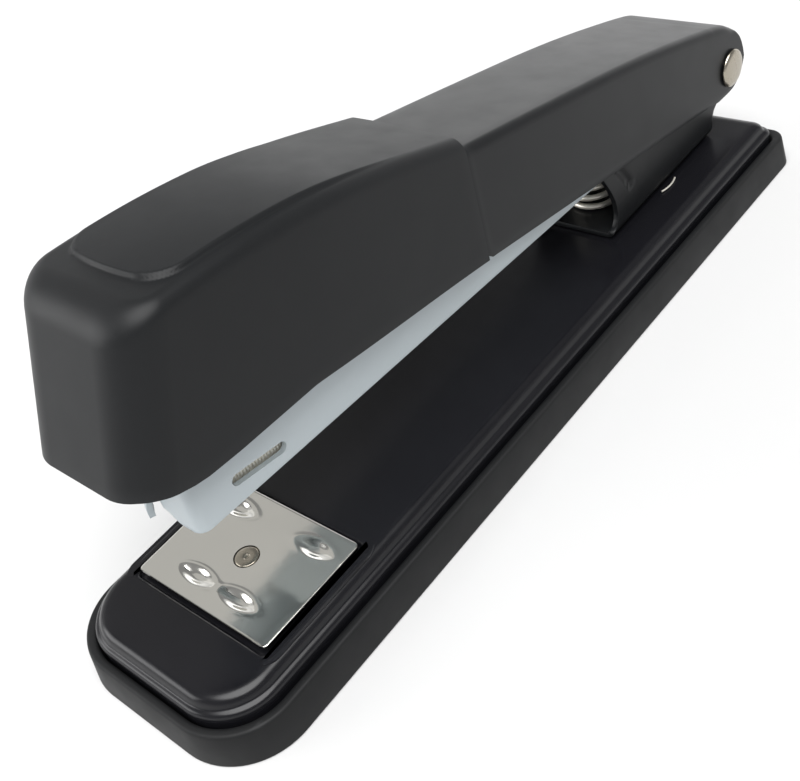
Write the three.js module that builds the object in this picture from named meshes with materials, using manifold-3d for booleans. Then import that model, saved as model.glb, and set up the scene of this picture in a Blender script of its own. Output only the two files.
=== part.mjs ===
// Desk stapler: rubber-shod steel base, turnable anvil, sprung magazine and a pressing arm with a nose cap.
// Millimetres. X runs across the stapler (it is symmetric about X = 0), the nose points toward -Y,
// the pivot is at +Y and +Z is up. The origin is on the table, under the middle of the bounding box.
import * as THREE from 'three';
import { mergeVertices } from 'three/addons/utils/BufferGeometryUtils.js';
import Module from 'manifold-3d';

const wasm = await Module();
wasm.setup();

// ---------------------------------------------------------------- driving dimensions
const GAP = 0.3;                    // clearance between neighbouring pieces
const FAR = 200;                    // reach of a cutting tool past the part it cuts

// Pivot and rest angles
const PIVOT_Y = 67.0;
const PIVOT_Z = 19.0;
const MAGAZINE_REST = THREE.MathUtils.degToRad(4.12);   // nose held up by the lift spring
const DRIVE_STROKE = THREE.MathUtils.degToRad(3.4);     // arm travel over the magazine

// Rubber boot and stamped base pan
const BOOT_HALF_WIDTH = 17.95;      // at the rim
const BOOT_FRONT = -71.3;
const BOOT_REAR = 71.2;
const BOOT_HEIGHT = 5.5;
const BOOT_DRAFT = 0.8;             // the foot is this much wider than the rim
const BOOT_FLOOR = 1.2;
const GRIP_GROOVES_Y = [-30, -15, 15, 30, 45, 60];
const PAN_SHEET = 0.9;
const PAN_HALF_WIDTH = 16.2;
const PAN_FRONT = -69.6;
const PAN_REAR = 69.5;
const PAN_STEP_Z = 7.15;            // lower bead, inside the boot's rim
const DECK_HALF_WIDTH = 15.7;
const DECK_FRONT = -68.2;
const DECK_REAR = 68.7;
const DECK_Z = 8.75;

// Anvil
const ANVIL_Y = -49.5;
const ANVIL_TOP = 9.45;
const ANVIL_THICKNESS = 0.6;
const ANVIL_WIDTH = 25.0;
const ANVIL_LENGTH = 18.4;
const POCKET_ROW = 5.7;             // distance of each pocket row from the anvil centre
const RECESS_MARGIN = 0.6;
const RECESS_FLOOR = 8.0;
const POST_RADIUS = 1.7;
const DECK_HOLE = [5, 12];          // heights between which holes through the deck are cut
const BUTTON_RADIUS = 5.5;

// Rear bracket
const BRACKET_HALF_WIDTH = 8.8;
const BRACKET_SHEET = 0.9;
const BRACKET_FLOOR_Z = DECK_Z + 0.2;
const PIN_RADIUS = 2.0;
const PIN_HOLE_RADIUS = 2.3;
const RIVET_HEAD_RADIUS = 3.2;
const LIFT_SPRING_Y = 37.5;
const BRACKET_RIVETS_Y = [46.5, 56.5];
const BRACKET_RIVET_HOLE = 1.7;

// Magazine, in its own level frame: origin on the pivot, the nose toward -Y
const MAGAZINE_HALF_WIDTH = 7.35;
const MAGAZINE_SHEET = 0.8;
const MAGAZINE_FRONT = -123.8;
const MAGAZINE_BOTTOM = -2.2;
const MAGAZINE_TOP = 9.2;
const MAGAZINE_REAR_TOP = 6.0;
const CORE_HALF_WIDTH = 5.55;
const CORE_SHEET = 0.7;
const CORE_FRONT = -122.2;
const CORE_REAR = -38.0;
const CORE_TOP = 4.2;
const CORE_LIP = -2.6;
const STAPLE_HALF_WIDTH = 6.35;     // 12.7 mm crown
const STAPLE_WIRE = 0.5;
const STAPLE_REAR = -72.0;
const PUSHER_LENGTH = 9.7;
const CORE_PIN_Y = -40.2;
const CORE_PIN_Z = 1.2;
const CORE_PIN_HOLE = 1.3;
const ROD_Z = 1.0;

// Arm and nose cap
const ARM_HALF_WIDTH = 9.8;
const ARM_FRONT_HALF_WIDTH = 9.0;   // joggled in where the cap covers it
const ARM_SHEET = 0.7;
const ARM_EDGE_RADIUS = 1.5;
const ARM_FRONT = -49.5;
const EAR_Y = 66.2;
const EAR_Z = 20.6;
const EAR_RADIUS = 5.9;
const ARM_RIVET_HOLE = 1.6;
const LEAF_RIVET_Y = -20.0;
const DRIVER_RIVET_Y = -46.6;
const DRIVER_HOLE_Y = -116.9;       // the same rivet, in the driver's own frame
const CAP_REAR = -2.4;
const CAP_HALF_WIDTH = 11.0;
const CAP_REAR_HALF_WIDTH = 10.4;
const CAP_INNER_HALF_WIDTH = 9.3;
const CAP_CORNER_RADIUS = 5.8;      // of the two upright front corners
const CAP_EDGE_RADIUS = 2.2;
const PANEL_HALF_WIDTH = 8.8;
const PANEL_FRONT = -49.5;
const PANEL_REAR = -8.0;

// Side-view top lines, as [y, z] from the front to the rear
const ARM_TOP_LINE = [
  [ARM_FRONT, 55.3], [-2.0, 45.0], [15, 41.1], [35, 36.4], [46, 33.5], [58, 29.8], [65.0, 27.0],
];
const CAP_TOP_LINE = [
  [-50, 58.1], [-45.6, 57.7], [-37, 56.6], [-31, 55.5], [-25, 54.2],
  [-19, 52.6], [-12, 50.3], [-5, 48.0], [CAP_REAR, 47.1],
];
const PANEL_TOP_LINE = [
  [-49.6, 58.6], [-45.6, 58.2], [-37, 57.1], [-31, 56.0], [-25, 54.6], [-19, 52.9], [-12, 50.45],
  [PANEL_REAR, 49.1],
];

// ---------------------------------------------------------------- finishes
function finish(color, roughness, metalness) {
  return new THREE.MeshStandardMaterial({ color, roughness, metalness });
}

const BLACK_ENAMEL = finish(0x0b0b0d, 0.28, 0.1);
const BLACK_SATIN = finish(0x17181a, 0.42, 0.1);
const CAP_PLASTIC = finish(0x1d1e20, 0.6, 0.0);
const RUBBER = finish(0x1a1a1b, 0.85, 0.0);
const GREY_PAINT = finish(0xaab7bd, 0.45, 0.2);
const CHROME = finish(0xd8d8d6, 0.12, 1.0);
const STEEL = finish(0xa9a59c, 0.35, 1.0);
const NICKEL = finish(0xc9bfae, 0.3, 1.0);

// ---------------------------------------------------------------- solids
// One closed solid from any closed three.js geometry, with its faces turned outward.
function solid(geometry) {
  const bare = geometry.clone();
  bare.deleteAttribute('normal');
  bare.deleteAttribute('uv');
  const merged = mergeVertices(bare, 1e-5);
  const vertProperties = Float32Array.from(merged.attributes.position.array);
  const triVerts = Uint32Array.from(merged.index.array);
  const result = new wasm.Manifold(new wasm.Mesh({ numProp: 3, vertProperties, triVerts }));
  if (result.volume() > 0) return result;
  const flipped = Uint32Array.from(triVerts);
  for (let i = 0; i < flipped.length; i += 3) {
    flipped[i + 1] = triVerts[i + 2];
    flipped[i + 2] = triVerts[i + 1];
  }
  return new wasm.Manifold(new wasm.Mesh({ numProp: 3, vertProperties, triVerts: flipped }));
}

function geometryOf(body) {
  const mesh = body.getMesh();
  const geometry = new THREE.BufferGeometry();
  geometry.setAttribute('position', new THREE.BufferAttribute(Float32Array.from(mesh.vertProperties), 3));
  geometry.setIndex(new THREE.BufferAttribute(Uint32Array.from(mesh.triVerts), 1));
  geometry.computeVertexNormals();
  return geometry;
}

function polygon(points) {
  return new THREE.Shape(points.map(([u, v]) => new THREE.Vector2(u, v)));
}

// Plan outline, symmetric about X = 0, with its own corner radius at each end.
function planOutline(halfWidth, front, rear, frontRadius, rearRadius) {
  const shape = new THREE.Shape();
  shape.moveTo(frontRadius - halfWidth, front);
  shape.lineTo(halfWidth - frontRadius, front);
  shape.absarc(halfWidth - frontRadius, front + frontRadius, frontRadius, -Math.PI / 2, 0, false);
  shape.lineTo(halfWidth, rear - rearRadius);
  shape.absarc(halfWidth - rearRadius, rear - rearRadius, rearRadius, 0, Math.PI / 2, false);
  shape.lineTo(rearRadius - halfWidth, rear);
  shape.absarc(rearRadius - halfWidth, rear - rearRadius, rearRadius, Math.PI / 2, Math.PI, false);
  shape.lineTo(-halfWidth, front + frontRadius);
  shape.absarc(frontRadius - halfWidth, front + frontRadius, frontRadius, Math.PI, 1.5 * Math.PI, false);
  return shape;
}

function extrusion(shape, length, bevel, curveSegments, bevelSegments) {
  return new THREE.ExtrudeGeometry(shape, {
    depth: length - 2 * bevel,
    curveSegments,
    bevelEnabled: bevel > 0,
    bevelThickness: bevel,
    bevelSize: bevel,
    bevelOffset: -bevel,
    bevelSegments,
  }).translate(0, 0, bevel);
}

// A plan (X, Y) outline raised from z0 to z1.
function slab(shape, z0, z1, curveSegments = 6) {
  return solid(extrusion(shape, z1 - z0, 0, curveSegments, 1).translate(0, 0, z0));
}

// The same with its upper rim rounded by `radius`.
function roundedSlab(shape, z0, z1, radius, curveSegments = 6) {
  const rounded = extrusion(shape, z1 - z0 + radius, radius, curveSegments, 2);
  const raised = solid(rounded.translate(0, 0, z0 - radius));
  return raised.subtract(box([-FAR, -FAR, z0 - FAR], [FAR, FAR, z0]));
}

// A side (Y, Z) profile carried across the stapler from x0 to x1, its edges rounded by `radius`.
function sidePrism(shape, x0, x1, radius = 0, curveSegments = 8) {
  const geometry = extrusion(shape, x1 - x0, radius, curveSegments, 3);
  const across = new THREE.Matrix4().makeBasis(
    new THREE.Vector3(0, 1, 0), new THREE.Vector3(0, 0, 1), new THREE.Vector3(1, 0, 0));
  return solid(geometry.applyMatrix4(across).translate(x0, 0, 0));
}

// A front (X, Z) section carried along the stapler from y0 to y1.
function lengthPrism(shape, y0, y1, curveSegments = 6) {
  const geometry = extrusion(shape, y1 - y0, 0, curveSegments, 1);
  return solid(geometry.rotateX(Math.PI / 2).translate(0, y1, 0));
}

function box(low, high) {
  const size = high.map((value, axis) => value - low[axis]);
  const middle = high.map((value, axis) => (value + low[axis]) / 2);
  return solid(new THREE.BoxGeometry(...size).translate(...middle));
}

// A turned piece standing on Z at (x, y): profile points are [radius, z].
function turned(profile, x, y, segments = 24) {
  const points = profile.map(([radius, z]) => new THREE.Vector2(radius, z));
  return solid(new THREE.LatheGeometry(points, segments).rotateX(Math.PI / 2).translate(x, y, 0));
}

// A turned piece lying on X through (y, z): profile points are [radius, x].
function turnedAcross(profile, y, z, segments = 24) {
  const points = profile.map(([radius, x]) => new THREE.Vector2(radius, x));
  return solid(new THREE.LatheGeometry(points, segments).rotateZ(-Math.PI / 2).translate(0, y, z));
}

function pin(radius, z0, z1) {
  return [[0, z0], [radius, z0], [radius, z1], [0, z1]];
}

// Shank with a flat head at each end; `from` and `to` are the outer faces of the heads.
function riveted(shankRadius, headRadius, headHeight, from, to) {
  return [
    [0, from],
    [headRadius * 0.7, from],
    [headRadius, from + headHeight * 0.6],
    [headRadius, from + headHeight],
    [shankRadius, from + headHeight], [shankRadius, to - headHeight],
    [headRadius, to - headHeight], [headRadius, to - headHeight * 0.6], [headRadius * 0.7, to], [0, to],
  ];
}

class Helix extends THREE.Curve {
  constructor(radius, turns, height) {
    super();
    Object.assign(this, { radius, turns, height });
  }
  getPoint(t, target = new THREE.Vector3()) {
    const angle = 2 * Math.PI * this.turns * t;
    return target.set(this.radius * Math.cos(angle), this.radius * Math.sin(angle), this.height * t);
  }
}

// Coil spring standing on Z from 0 to `height`, measured between the end wire centres.
function coil(radius, wireRadius, turns, height, stepsPerTurn = 14) {
  const wire = new THREE.Shape();
  wire.absarc(0, 0, wireRadius, 0, 2 * Math.PI, false);
  return new THREE.ExtrudeGeometry(wire, {
    steps: Math.round(turns * stepsPerTurn),
    curveSegments: 3,
    bevelEnabled: false,
    extrudePath: new Helix(radius, turns, height),
  });
}

// ---------------------------------------------------------------- scene graph
const stapler = new THREE.Group();
const pivotFrame = (nosedUp) => {
  const group = new THREE.Group();
  group.position.set(0, PIVOT_Y, PIVOT_Z);
  group.rotation.x = -nosedUp;
  stapler.add(group);
  return group;
};
const magazine = pivotFrame(MAGAZINE_REST);
const driver = pivotFrame(MAGAZINE_REST + DRIVE_STROKE);

function addPiece(name, shape, material, parent = stapler) {
  const geometry = shape.isBufferGeometry ? shape : geometryOf(shape);
  const mesh = new THREE.Mesh(geometry, material);
  mesh.name = name;
  parent.add(mesh);
  return mesh;
}

// ---------------------------------------------------------------- rubber boot
function rubberBoot() {
  // The wall leans in from the foot to the rim, so the outline is swept with one straight bevel.
  const rim = planOutline(BOOT_HALF_WIDTH, BOOT_FRONT, BOOT_REAR, 10.0, 3.0);
  const swept = new THREE.ExtrudeGeometry(rim, {
    depth: 1, curveSegments: 10, bevelThickness: BOOT_HEIGHT, bevelSize: BOOT_DRAFT, bevelSegments: 1,
  }).translate(0, 0, -1);
  let boot = solid(swept).subtract(box([-FAR, -FAR, -FAR], [FAR, FAR, 0]));
  const well = planOutline(PAN_HALF_WIDTH + GAP, PAN_FRONT - GAP, PAN_REAR + GAP, 8.8, 2.2);
  boot = boot.subtract(slab(well, BOOT_FLOOR, BOOT_HEIGHT + 1, 10));
  boot = boot.subtract(turned(pin(BUTTON_RADIUS + 0.8, -1, BOOT_FLOOR + 1), 0, ANVIL_Y));
  // Grip grooves across the underside.
  for (const y of GRIP_GROOVES_Y) {
    boot = boot.subtract(box([-13, y - 0.8, -1], [13, y + 0.8, 0.5]));
  }
  return boot;
}

// ---------------------------------------------------------------- stamped base pan
function basePan() {
  const skirt = (inset) => planOutline(
    PAN_HALF_WIDTH - inset, PAN_FRONT + inset, PAN_REAR - inset, 8.5 - inset, 1.9 - inset);
  const deck = (inset) => planOutline(
    DECK_HALF_WIDTH - inset, DECK_FRONT + inset, DECK_REAR - inset, 7.4 - inset, 1.9 - inset);
  let pan = roundedSlab(skirt(0), BOOT_FLOOR + GAP, PAN_STEP_Z, 0.5, 6);
  pan = pan.add(roundedSlab(deck(0), PAN_STEP_Z - 1, DECK_Z, 1.0, 6));
  pan = pan.subtract(slab(skirt(PAN_SHEET), 0, PAN_STEP_Z - PAN_SHEET, 4));
  pan = pan.subtract(slab(deck(PAN_SHEET), 0, DECK_Z - PAN_SHEET, 4));

  // Square well that holds the anvil, with its floor one sheet thick.
  const well = (margin, radius) => planOutline(
    ANVIL_WIDTH / 2 + margin,
    ANVIL_Y - ANVIL_LENGTH / 2 - margin,
    ANVIL_Y + ANVIL_LENGTH / 2 + margin, radius, radius);
  pan = pan.add(slab(well(RECESS_MARGIN + PAN_SHEET, 2.4), RECESS_FLOOR - PAN_SHEET, DECK_Z - 0.3, 4));
  pan = pan.subtract(slab(well(RECESS_MARGIN, 1.6), RECESS_FLOOR, DECK_Z + 1, 4));
  pan = pan.subtract(turned(pin(POST_RADIUS + 0.6, ...DECK_HOLE), 0, ANVIL_Y));
  for (const y of BRACKET_RIVETS_Y) {
    pan = pan.subtract(turned(pin(BRACKET_RIVET_HOLE, ...DECK_HOLE), 0, y, 16));
  }
  return pan;
}

// ---------------------------------------------------------------- anvil
// A clinching pocket is a shallow boat-shaped dent, `length` long across the stapler.
function pocket(x, y, length) {
  const dent = new THREE.SphereGeometry(1, 16, 10).scale(length / 2, 1.25, 0.45);
  return solid(dent.translate(x, y, ANVIL_TOP + 0.02));
}

function anvilPlate() {
  const outline = planOutline(
    ANVIL_WIDTH / 2, ANVIL_Y - ANVIL_LENGTH / 2, ANVIL_Y + ANVIL_LENGTH / 2, 0.6, 0.6);
  let plate = slab(outline, ANVIL_TOP - ANVIL_THICKNESS, ANVIL_TOP, 3);
  for (const side of [-1, 1]) {
    plate = plate.subtract(pocket(side * 3.95, ANVIL_Y - POCKET_ROW, 7.2));
    plate = plate.subtract(pocket(side * 7.6, ANVIL_Y + POCKET_ROW, 7.6));
  }
  return plate.subtract(turned(pin(POST_RADIUS + 0.15, ...DECK_HOLE), 0, ANVIL_Y));
}

function anvilPost() {
  const dimple = 0.45;
  return turned([
    [0, 1.7], [POST_RADIUS, 1.7], [POST_RADIUS, 8.2], [2.6, 8.2], [2.6, ANVIL_TOP - ANVIL_THICKNESS - 0.2],
    [POST_RADIUS, ANVIL_TOP - ANVIL_THICKNESS - 0.2], [POST_RADIUS, ANVIL_TOP + 0.05],
    [dimple, ANVIL_TOP + 0.05], [0, ANVIL_TOP - 0.3],
  ], 0, ANVIL_Y);
}

function anvilButton() {
  const bore = POST_RADIUS + GAP;
  return turned([
    [bore, 0.8], [BUTTON_RADIUS - 0.4, 0.8], [BUTTON_RADIUS, 1.2], [BUTTON_RADIUS, 2.8],
    [3.1, 2.8], [3.1, 3.6], [bore, 3.6], [bore, 0.8],
  ], 0, ANVIL_Y);
}

// ---------------------------------------------------------------- rear bracket
function rearBracket() {
  const outerCorner = 1.5;
  const half = BRACKET_HALF_WIDTH;
  const bottom = BRACKET_FLOOR_Z;
  const section = new THREE.Shape();
  section.moveTo(-half, 40);
  section.lineTo(-half, bottom + outerCorner);
  section.absarc(outerCorner - half, bottom + outerCorner, outerCorner, Math.PI, 1.5 * Math.PI, false);
  section.lineTo(half - outerCorner, bottom);
  section.absarc(half - outerCorner, bottom + outerCorner, outerCorner, 1.5 * Math.PI, 2 * Math.PI, false);
  section.lineTo(half, 40);
  const inner = outerCorner - 0.8;
  section.lineTo(half - BRACKET_SHEET, 40);
  section.lineTo(half - BRACKET_SHEET, bottom + BRACKET_SHEET + inner);
  section.lineTo(half - BRACKET_SHEET - inner, bottom + BRACKET_SHEET);
  section.lineTo(BRACKET_SHEET + inner - half, bottom + BRACKET_SHEET);
  section.lineTo(BRACKET_SHEET - half, bottom + BRACKET_SHEET + inner);
  section.lineTo(BRACKET_SHEET - half, 40);

  const side = new THREE.Shape();
  side.moveTo(29.0, bottom);
  side.lineTo(29.0, bottom + 0.9);
  side.quadraticCurveTo(30.5, bottom + 1.2, 30.8, 12.4);
  side.quadraticCurveTo(30.9, 16.5, 28.0, 20.8);
  side.quadraticCurveTo(26.9, 22.6, 28.4, 23.8);
  side.lineTo(62, 24.4);
  side.absarc(PIVOT_Y, PIVOT_Z, 5.0, Math.PI * 0.55, -Math.PI * 0.62, true);
  side.quadraticCurveTo(62.0, 12.0, 61.7, bottom + 0.9);
  side.lineTo(61.7, bottom);

  let bracket = lengthPrism(section, 20, 80).intersect(sidePrism(side, -half - 1, half + 1));
  bracket = bracket.subtract(turnedAcross(pin(PIN_HOLE_RADIUS, -FAR, FAR), PIVOT_Y, PIVOT_Z));
  for (const y of BRACKET_RIVETS_Y) {
    bracket = bracket.subtract(turned(pin(BRACKET_RIVET_HOLE, ...DECK_HOLE), 0, y, 16));
  }
  // Stamped guide groove slanting down the outside of each wall.
  const slant = THREE.MathUtils.degToRad(-58);
  for (const sign of [-1, 1]) {
    const groove = new THREE.CylinderGeometry(0.7, 0.7, 6.2, 10);
    groove.rotateX(slant).translate(sign * (half + 0.35), 33.85, 17.85);
    bracket = bracket.subtract(solid(groove));
  }
  return bracket;
}

// Staked lug of the bracket, a thin bright crescent beside the foot of the wall.
function stake(side) {
  const shape = new THREE.Shape();
  shape.moveTo(side * 9.15, 43.0);
  shape.quadraticCurveTo(side * 10.1, 45.4, side * 9.15, 47.8);
  shape.quadraticCurveTo(side * 9.55, 45.4, side * 9.15, 43.0);
  return slab(shape, DECK_Z + 0.1, DECK_Z + 0.5, 6);
}

// ---------------------------------------------------------------- magazine
function magazineChannel() {
  const wall = (inset, cornerRadius) => planOutline(
    MAGAZINE_HALF_WIDTH - inset, MAGAZINE_FRONT + inset, 12 - inset, cornerRadius, 0.1);
  const eye = 4.8;                  // radius of the rear end, round the pivot
  let channel = slab(wall(0, 1.6), -eye, MAGAZINE_TOP, 5);
  channel = channel.subtract(slab(wall(MAGAZINE_SHEET, 0.4), -eye - 1, MAGAZINE_TOP + 1, 5));
  channel = channel.add(box(
    [-MAGAZINE_HALF_WIDTH, -112, MAGAZINE_BOTTOM], [MAGAZINE_HALF_WIDTH, -36, MAGAZINE_BOTTOM + 0.7]));

  // The two front flanges leave a gap that widens toward the bottom.
  const gap = polygon([
    [-3.6, -4], [-2.4, -1.6], [-1.1, 0.2], [-0.5, 2], [-0.5, 12],
    [0.5, 12], [0.5, 2], [1.1, 0.2], [2.4, -1.6], [3.6, -4],
  ].reverse());
  channel = channel.subtract(lengthPrism(gap, MAGAZINE_FRONT - 1, MAGAZINE_FRONT + 1.5));

  // Side view: full height at the nose, lower at the rear, rounded about the pivot.
  const side = new THREE.Shape();
  side.moveTo(MAGAZINE_FRONT - 1, MAGAZINE_BOTTOM);
  side.lineTo(-8, MAGAZINE_BOTTOM);
  side.lineTo(-2.4, -4.2);
  side.absarc(0, 0, eye, -Math.PI * 0.66, Math.PI * 0.45, false);
  side.lineTo(-30, MAGAZINE_REAR_TOP);
  side.lineTo(-48, MAGAZINE_TOP);
  side.lineTo(MAGAZINE_FRONT - 1, MAGAZINE_TOP);
  channel = channel.intersect(sidePrism(side, -10, 10));

  // Counting slot in both walls, sloping a little to the lower edge.
  const slotStart = new THREE.Vector2(-116.8, 1.16);
  const slotEnd = new THREE.Vector2(-109.6, 0.29);
  const slotRadius = 0.85;
  const lean = Math.atan2(slotEnd.y - slotStart.y, slotEnd.x - slotStart.x);
  const slot = new THREE.Shape();
  slot.absarc(slotEnd.x, slotEnd.y, slotRadius, lean - Math.PI / 2, lean + Math.PI / 2, false);
  slot.absarc(slotStart.x, slotStart.y, slotRadius, lean + Math.PI / 2, lean + 1.5 * Math.PI, false);
  channel = channel.subtract(sidePrism(slot, -10, 10, 0, 6));
  channel = channel.subtract(turnedAcross(pin(PIN_HOLE_RADIUS, -FAR, FAR), 0, 0));
  return channel.subtract(turnedAcross(pin(CORE_PIN_HOLE, -FAR, FAR), CORE_PIN_Y, CORE_PIN_Z, 12));
}

// Section of a sheet saddle: an inverted U, open at the bottom.
function saddleSection(halfWidth, sheet, bottom, top) {
  return polygon([
    [-halfWidth, bottom], [sheet - halfWidth, bottom], [sheet - halfWidth, top - sheet],
    [halfWidth - sheet, top - sheet], [halfWidth - sheet, bottom], [halfWidth, bottom],
    [halfWidth, top], [-halfWidth, top],
  ]);
}

function magazineCore() {
  const section = saddleSection(CORE_HALF_WIDTH, CORE_SHEET, CORE_LIP, CORE_TOP);
  let core = lengthPrism(section, CORE_FRONT, CORE_REAR);
  // Only the front of the core reaches below the channel walls.
  core = core.subtract(box([-10, -112.6, -10], [10, 10, MAGAZINE_BOTTOM + 0.7 + GAP]));
  return core.subtract(turnedAcross(pin(CORE_PIN_HOLE, -FAR, FAR), CORE_PIN_Y, CORE_PIN_Z, 12));
}

function stapleStrip() {
  const section = saddleSection(STAPLE_HALF_WIDTH, STAPLE_WIRE, -1.0, CORE_TOP + GAP + STAPLE_WIRE);
  return lengthPrism(section, CORE_FRONT + 0.1, STAPLE_REAR);
}

function pusher() {
  const front = STAPLE_REAR + GAP;
  const section = saddleSection(6.3, 0.45, -0.6, CORE_TOP + GAP + 0.8);
  const saddle = lengthPrism(section, front, front + PUSHER_LENGTH);
  // Finger tab turned up from the rear of the saddle.
  const tab = sidePrism(polygon([
    [front + 5, 4.6], [front + 9.5, 4.6], [front + 9.5, 7.4],
    [front + 8.7, 7.4], [front + 8.4, 5.4], [front + 5, 5.2],
  ]), -3, 3);
  return saddle.add(tab);
}

function rodAnchor() {
  const block = box([-4.5, -42.4, -0.9], [4.5, -38.2, 3.2]);
  const bored = block.subtract(turnedAcross(pin(CORE_PIN_HOLE, -FAR, FAR), CORE_PIN_Y, CORE_PIN_Z, 12));
  const seat = new THREE.CylinderGeometry(1.1, 1.1, 2.4, 12).translate(0, -42.4, ROD_Z);
  return bored.subtract(solid(seat));
}

// ---------------------------------------------------------------- arm
// Side view of the arm, from its front edge under the cap to the ear round the pivot.
function armProfile(front, inset, bottomDrop) {
  const shape = new THREE.Shape();
  shape.moveTo(front, 34.0 - bottomDrop);
  shape.lineTo(front, armTopAt(front) - inset);
  for (const [y, z] of ARM_TOP_LINE.slice(1)) shape.lineTo(y, z - inset);
  shape.absarc(EAR_Y, EAR_Z, EAR_RADIUS - inset, Math.PI * 0.46, -Math.PI * 0.5, true);
  shape.lineTo(60.0, 15.0 - bottomDrop);
  return shape;
}

function armChannel() {
  const shell = (halfWidth, y0, y1) => {
    const inside = halfWidth - ARM_SHEET;
    const outer = sidePrism(armProfile(ARM_FRONT, 0, 8), -halfWidth, halfWidth, ARM_EDGE_RADIUS, 10);
    const inner = sidePrism(armProfile(ARM_FRONT - 3, ARM_SHEET, 12), -inside, inside, 0.8, 8);
    return [outer, inner].map((body) => body.intersect(box([-FAR, y0, -FAR], [FAR, y1, FAR])));
  };
  const [rearOuter, rearInner] = shell(ARM_HALF_WIDTH, CAP_REAR + GAP, 100);
  const [frontOuter, frontInner] = shell(ARM_FRONT_HALF_WIDTH, -100, CAP_REAR + GAP + 1.0);
  const rearHollow = rearInner.subtract(box([-FAR, -FAR, -FAR], [FAR, CAP_REAR + GAP + 0.8, FAR]));
  let arm = rearOuter.subtract(rearHollow).add(frontOuter).subtract(frontInner);

  // The rear is open: the top sheet stops over the pivot and only the ears go round it.
  arm = arm.subtract(box([ARM_SHEET - ARM_HALF_WIDTH, 67.6, 0], [ARM_HALF_WIDTH - ARM_SHEET, 100, 60]));
  arm = arm.subtract(box([ARM_SHEET - ARM_HALF_WIDTH, 61, 0], [ARM_HALF_WIDTH - ARM_SHEET, 100, 24]));

  // Lower edge: one straight line behind the cap, a little higher where the cap hides it.
  const underside = polygon([
    [-80, -20], [-80, 36.0], [-36.2, 34.6], [CAP_REAR + GAP, 28.3], [CAP_REAR + GAP, 27.5],
    [60.1, 15.5], [62.5, 14.9], [EAR_Y, EAR_Z - EAR_RADIUS - 0.01],
    [90, EAR_Z - EAR_RADIUS - 0.01], [90, -20],
  ]);
  arm = arm.subtract(sidePrism(underside, -20, 20));
  arm = arm.subtract(turnedAcross(pin(PIN_HOLE_RADIUS, -FAR, FAR), PIVOT_Y, PIVOT_Z));
  for (const y of [LEAF_RIVET_Y, DRIVER_RIVET_Y]) {
    arm = arm.subtract(turned(pin(ARM_RIVET_HOLE, 0, FAR), 0, y, 12));
  }
  return arm;
}

// Height of the arm's top sheet at a distance along the stapler, over its straight front length.
function armTopAt(y) {
  const [[y0, z0], [y1, z1]] = ARM_TOP_LINE;
  return z0 + (z1 - z0) * (y - y0) / (y1 - y0);
}

function leafSpring() {
  const z = (y) => armTopAt(y) - ARM_SHEET - GAP;
  let leaf = sidePrism(polygon([
    [-25, z(-25)], [-14, z(-14)], [4, 40.6], [14, 36.6], [20, 34.9], [24, 35.3],
    [24, 34.8], [20, 34.4], [14, 36.1], [3.8, 40.1], [-14, z(-14) - 0.6], [-25, z(-25) - 0.5],
  ]), -4, 4);
  return leaf.subtract(turned(pin(ARM_RIVET_HOLE, 0, FAR), 0, LEAF_RIVET_Y, 12));
}

function driverBlade() {
  const blade = box([-6.2, -122.8, MAGAZINE_BOTTOM], [6.2, -122.4, 18.9]);
  const foot = box([-6.2, -122.8, 18.4], [6.2, -113.6, 18.9]);
  const hole = turned(pin(ARM_RIVET_HOLE, -FAR, FAR), 0, DRIVER_HOLE_Y, 12);
  return blade.add(foot).subtract(hole);
}

// ---------------------------------------------------------------- nose cap
function capProfile(inset, bottom) {
  const shape = new THREE.Shape();
  const lean = inset * 1.08;
  shape.moveTo(-64.6 + lean, bottom);
  shape.lineTo(-64.2 + lean, 36.1);
  shape.lineTo(-57.1 + lean, 53.2);
  shape.quadraticCurveTo(-55.0 + lean, 58.2 - inset, -50 + lean, 58.1 - inset);
  for (const [y, z] of CAP_TOP_LINE.slice(1)) shape.lineTo(y, z - inset);
  return shape;
}

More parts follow.
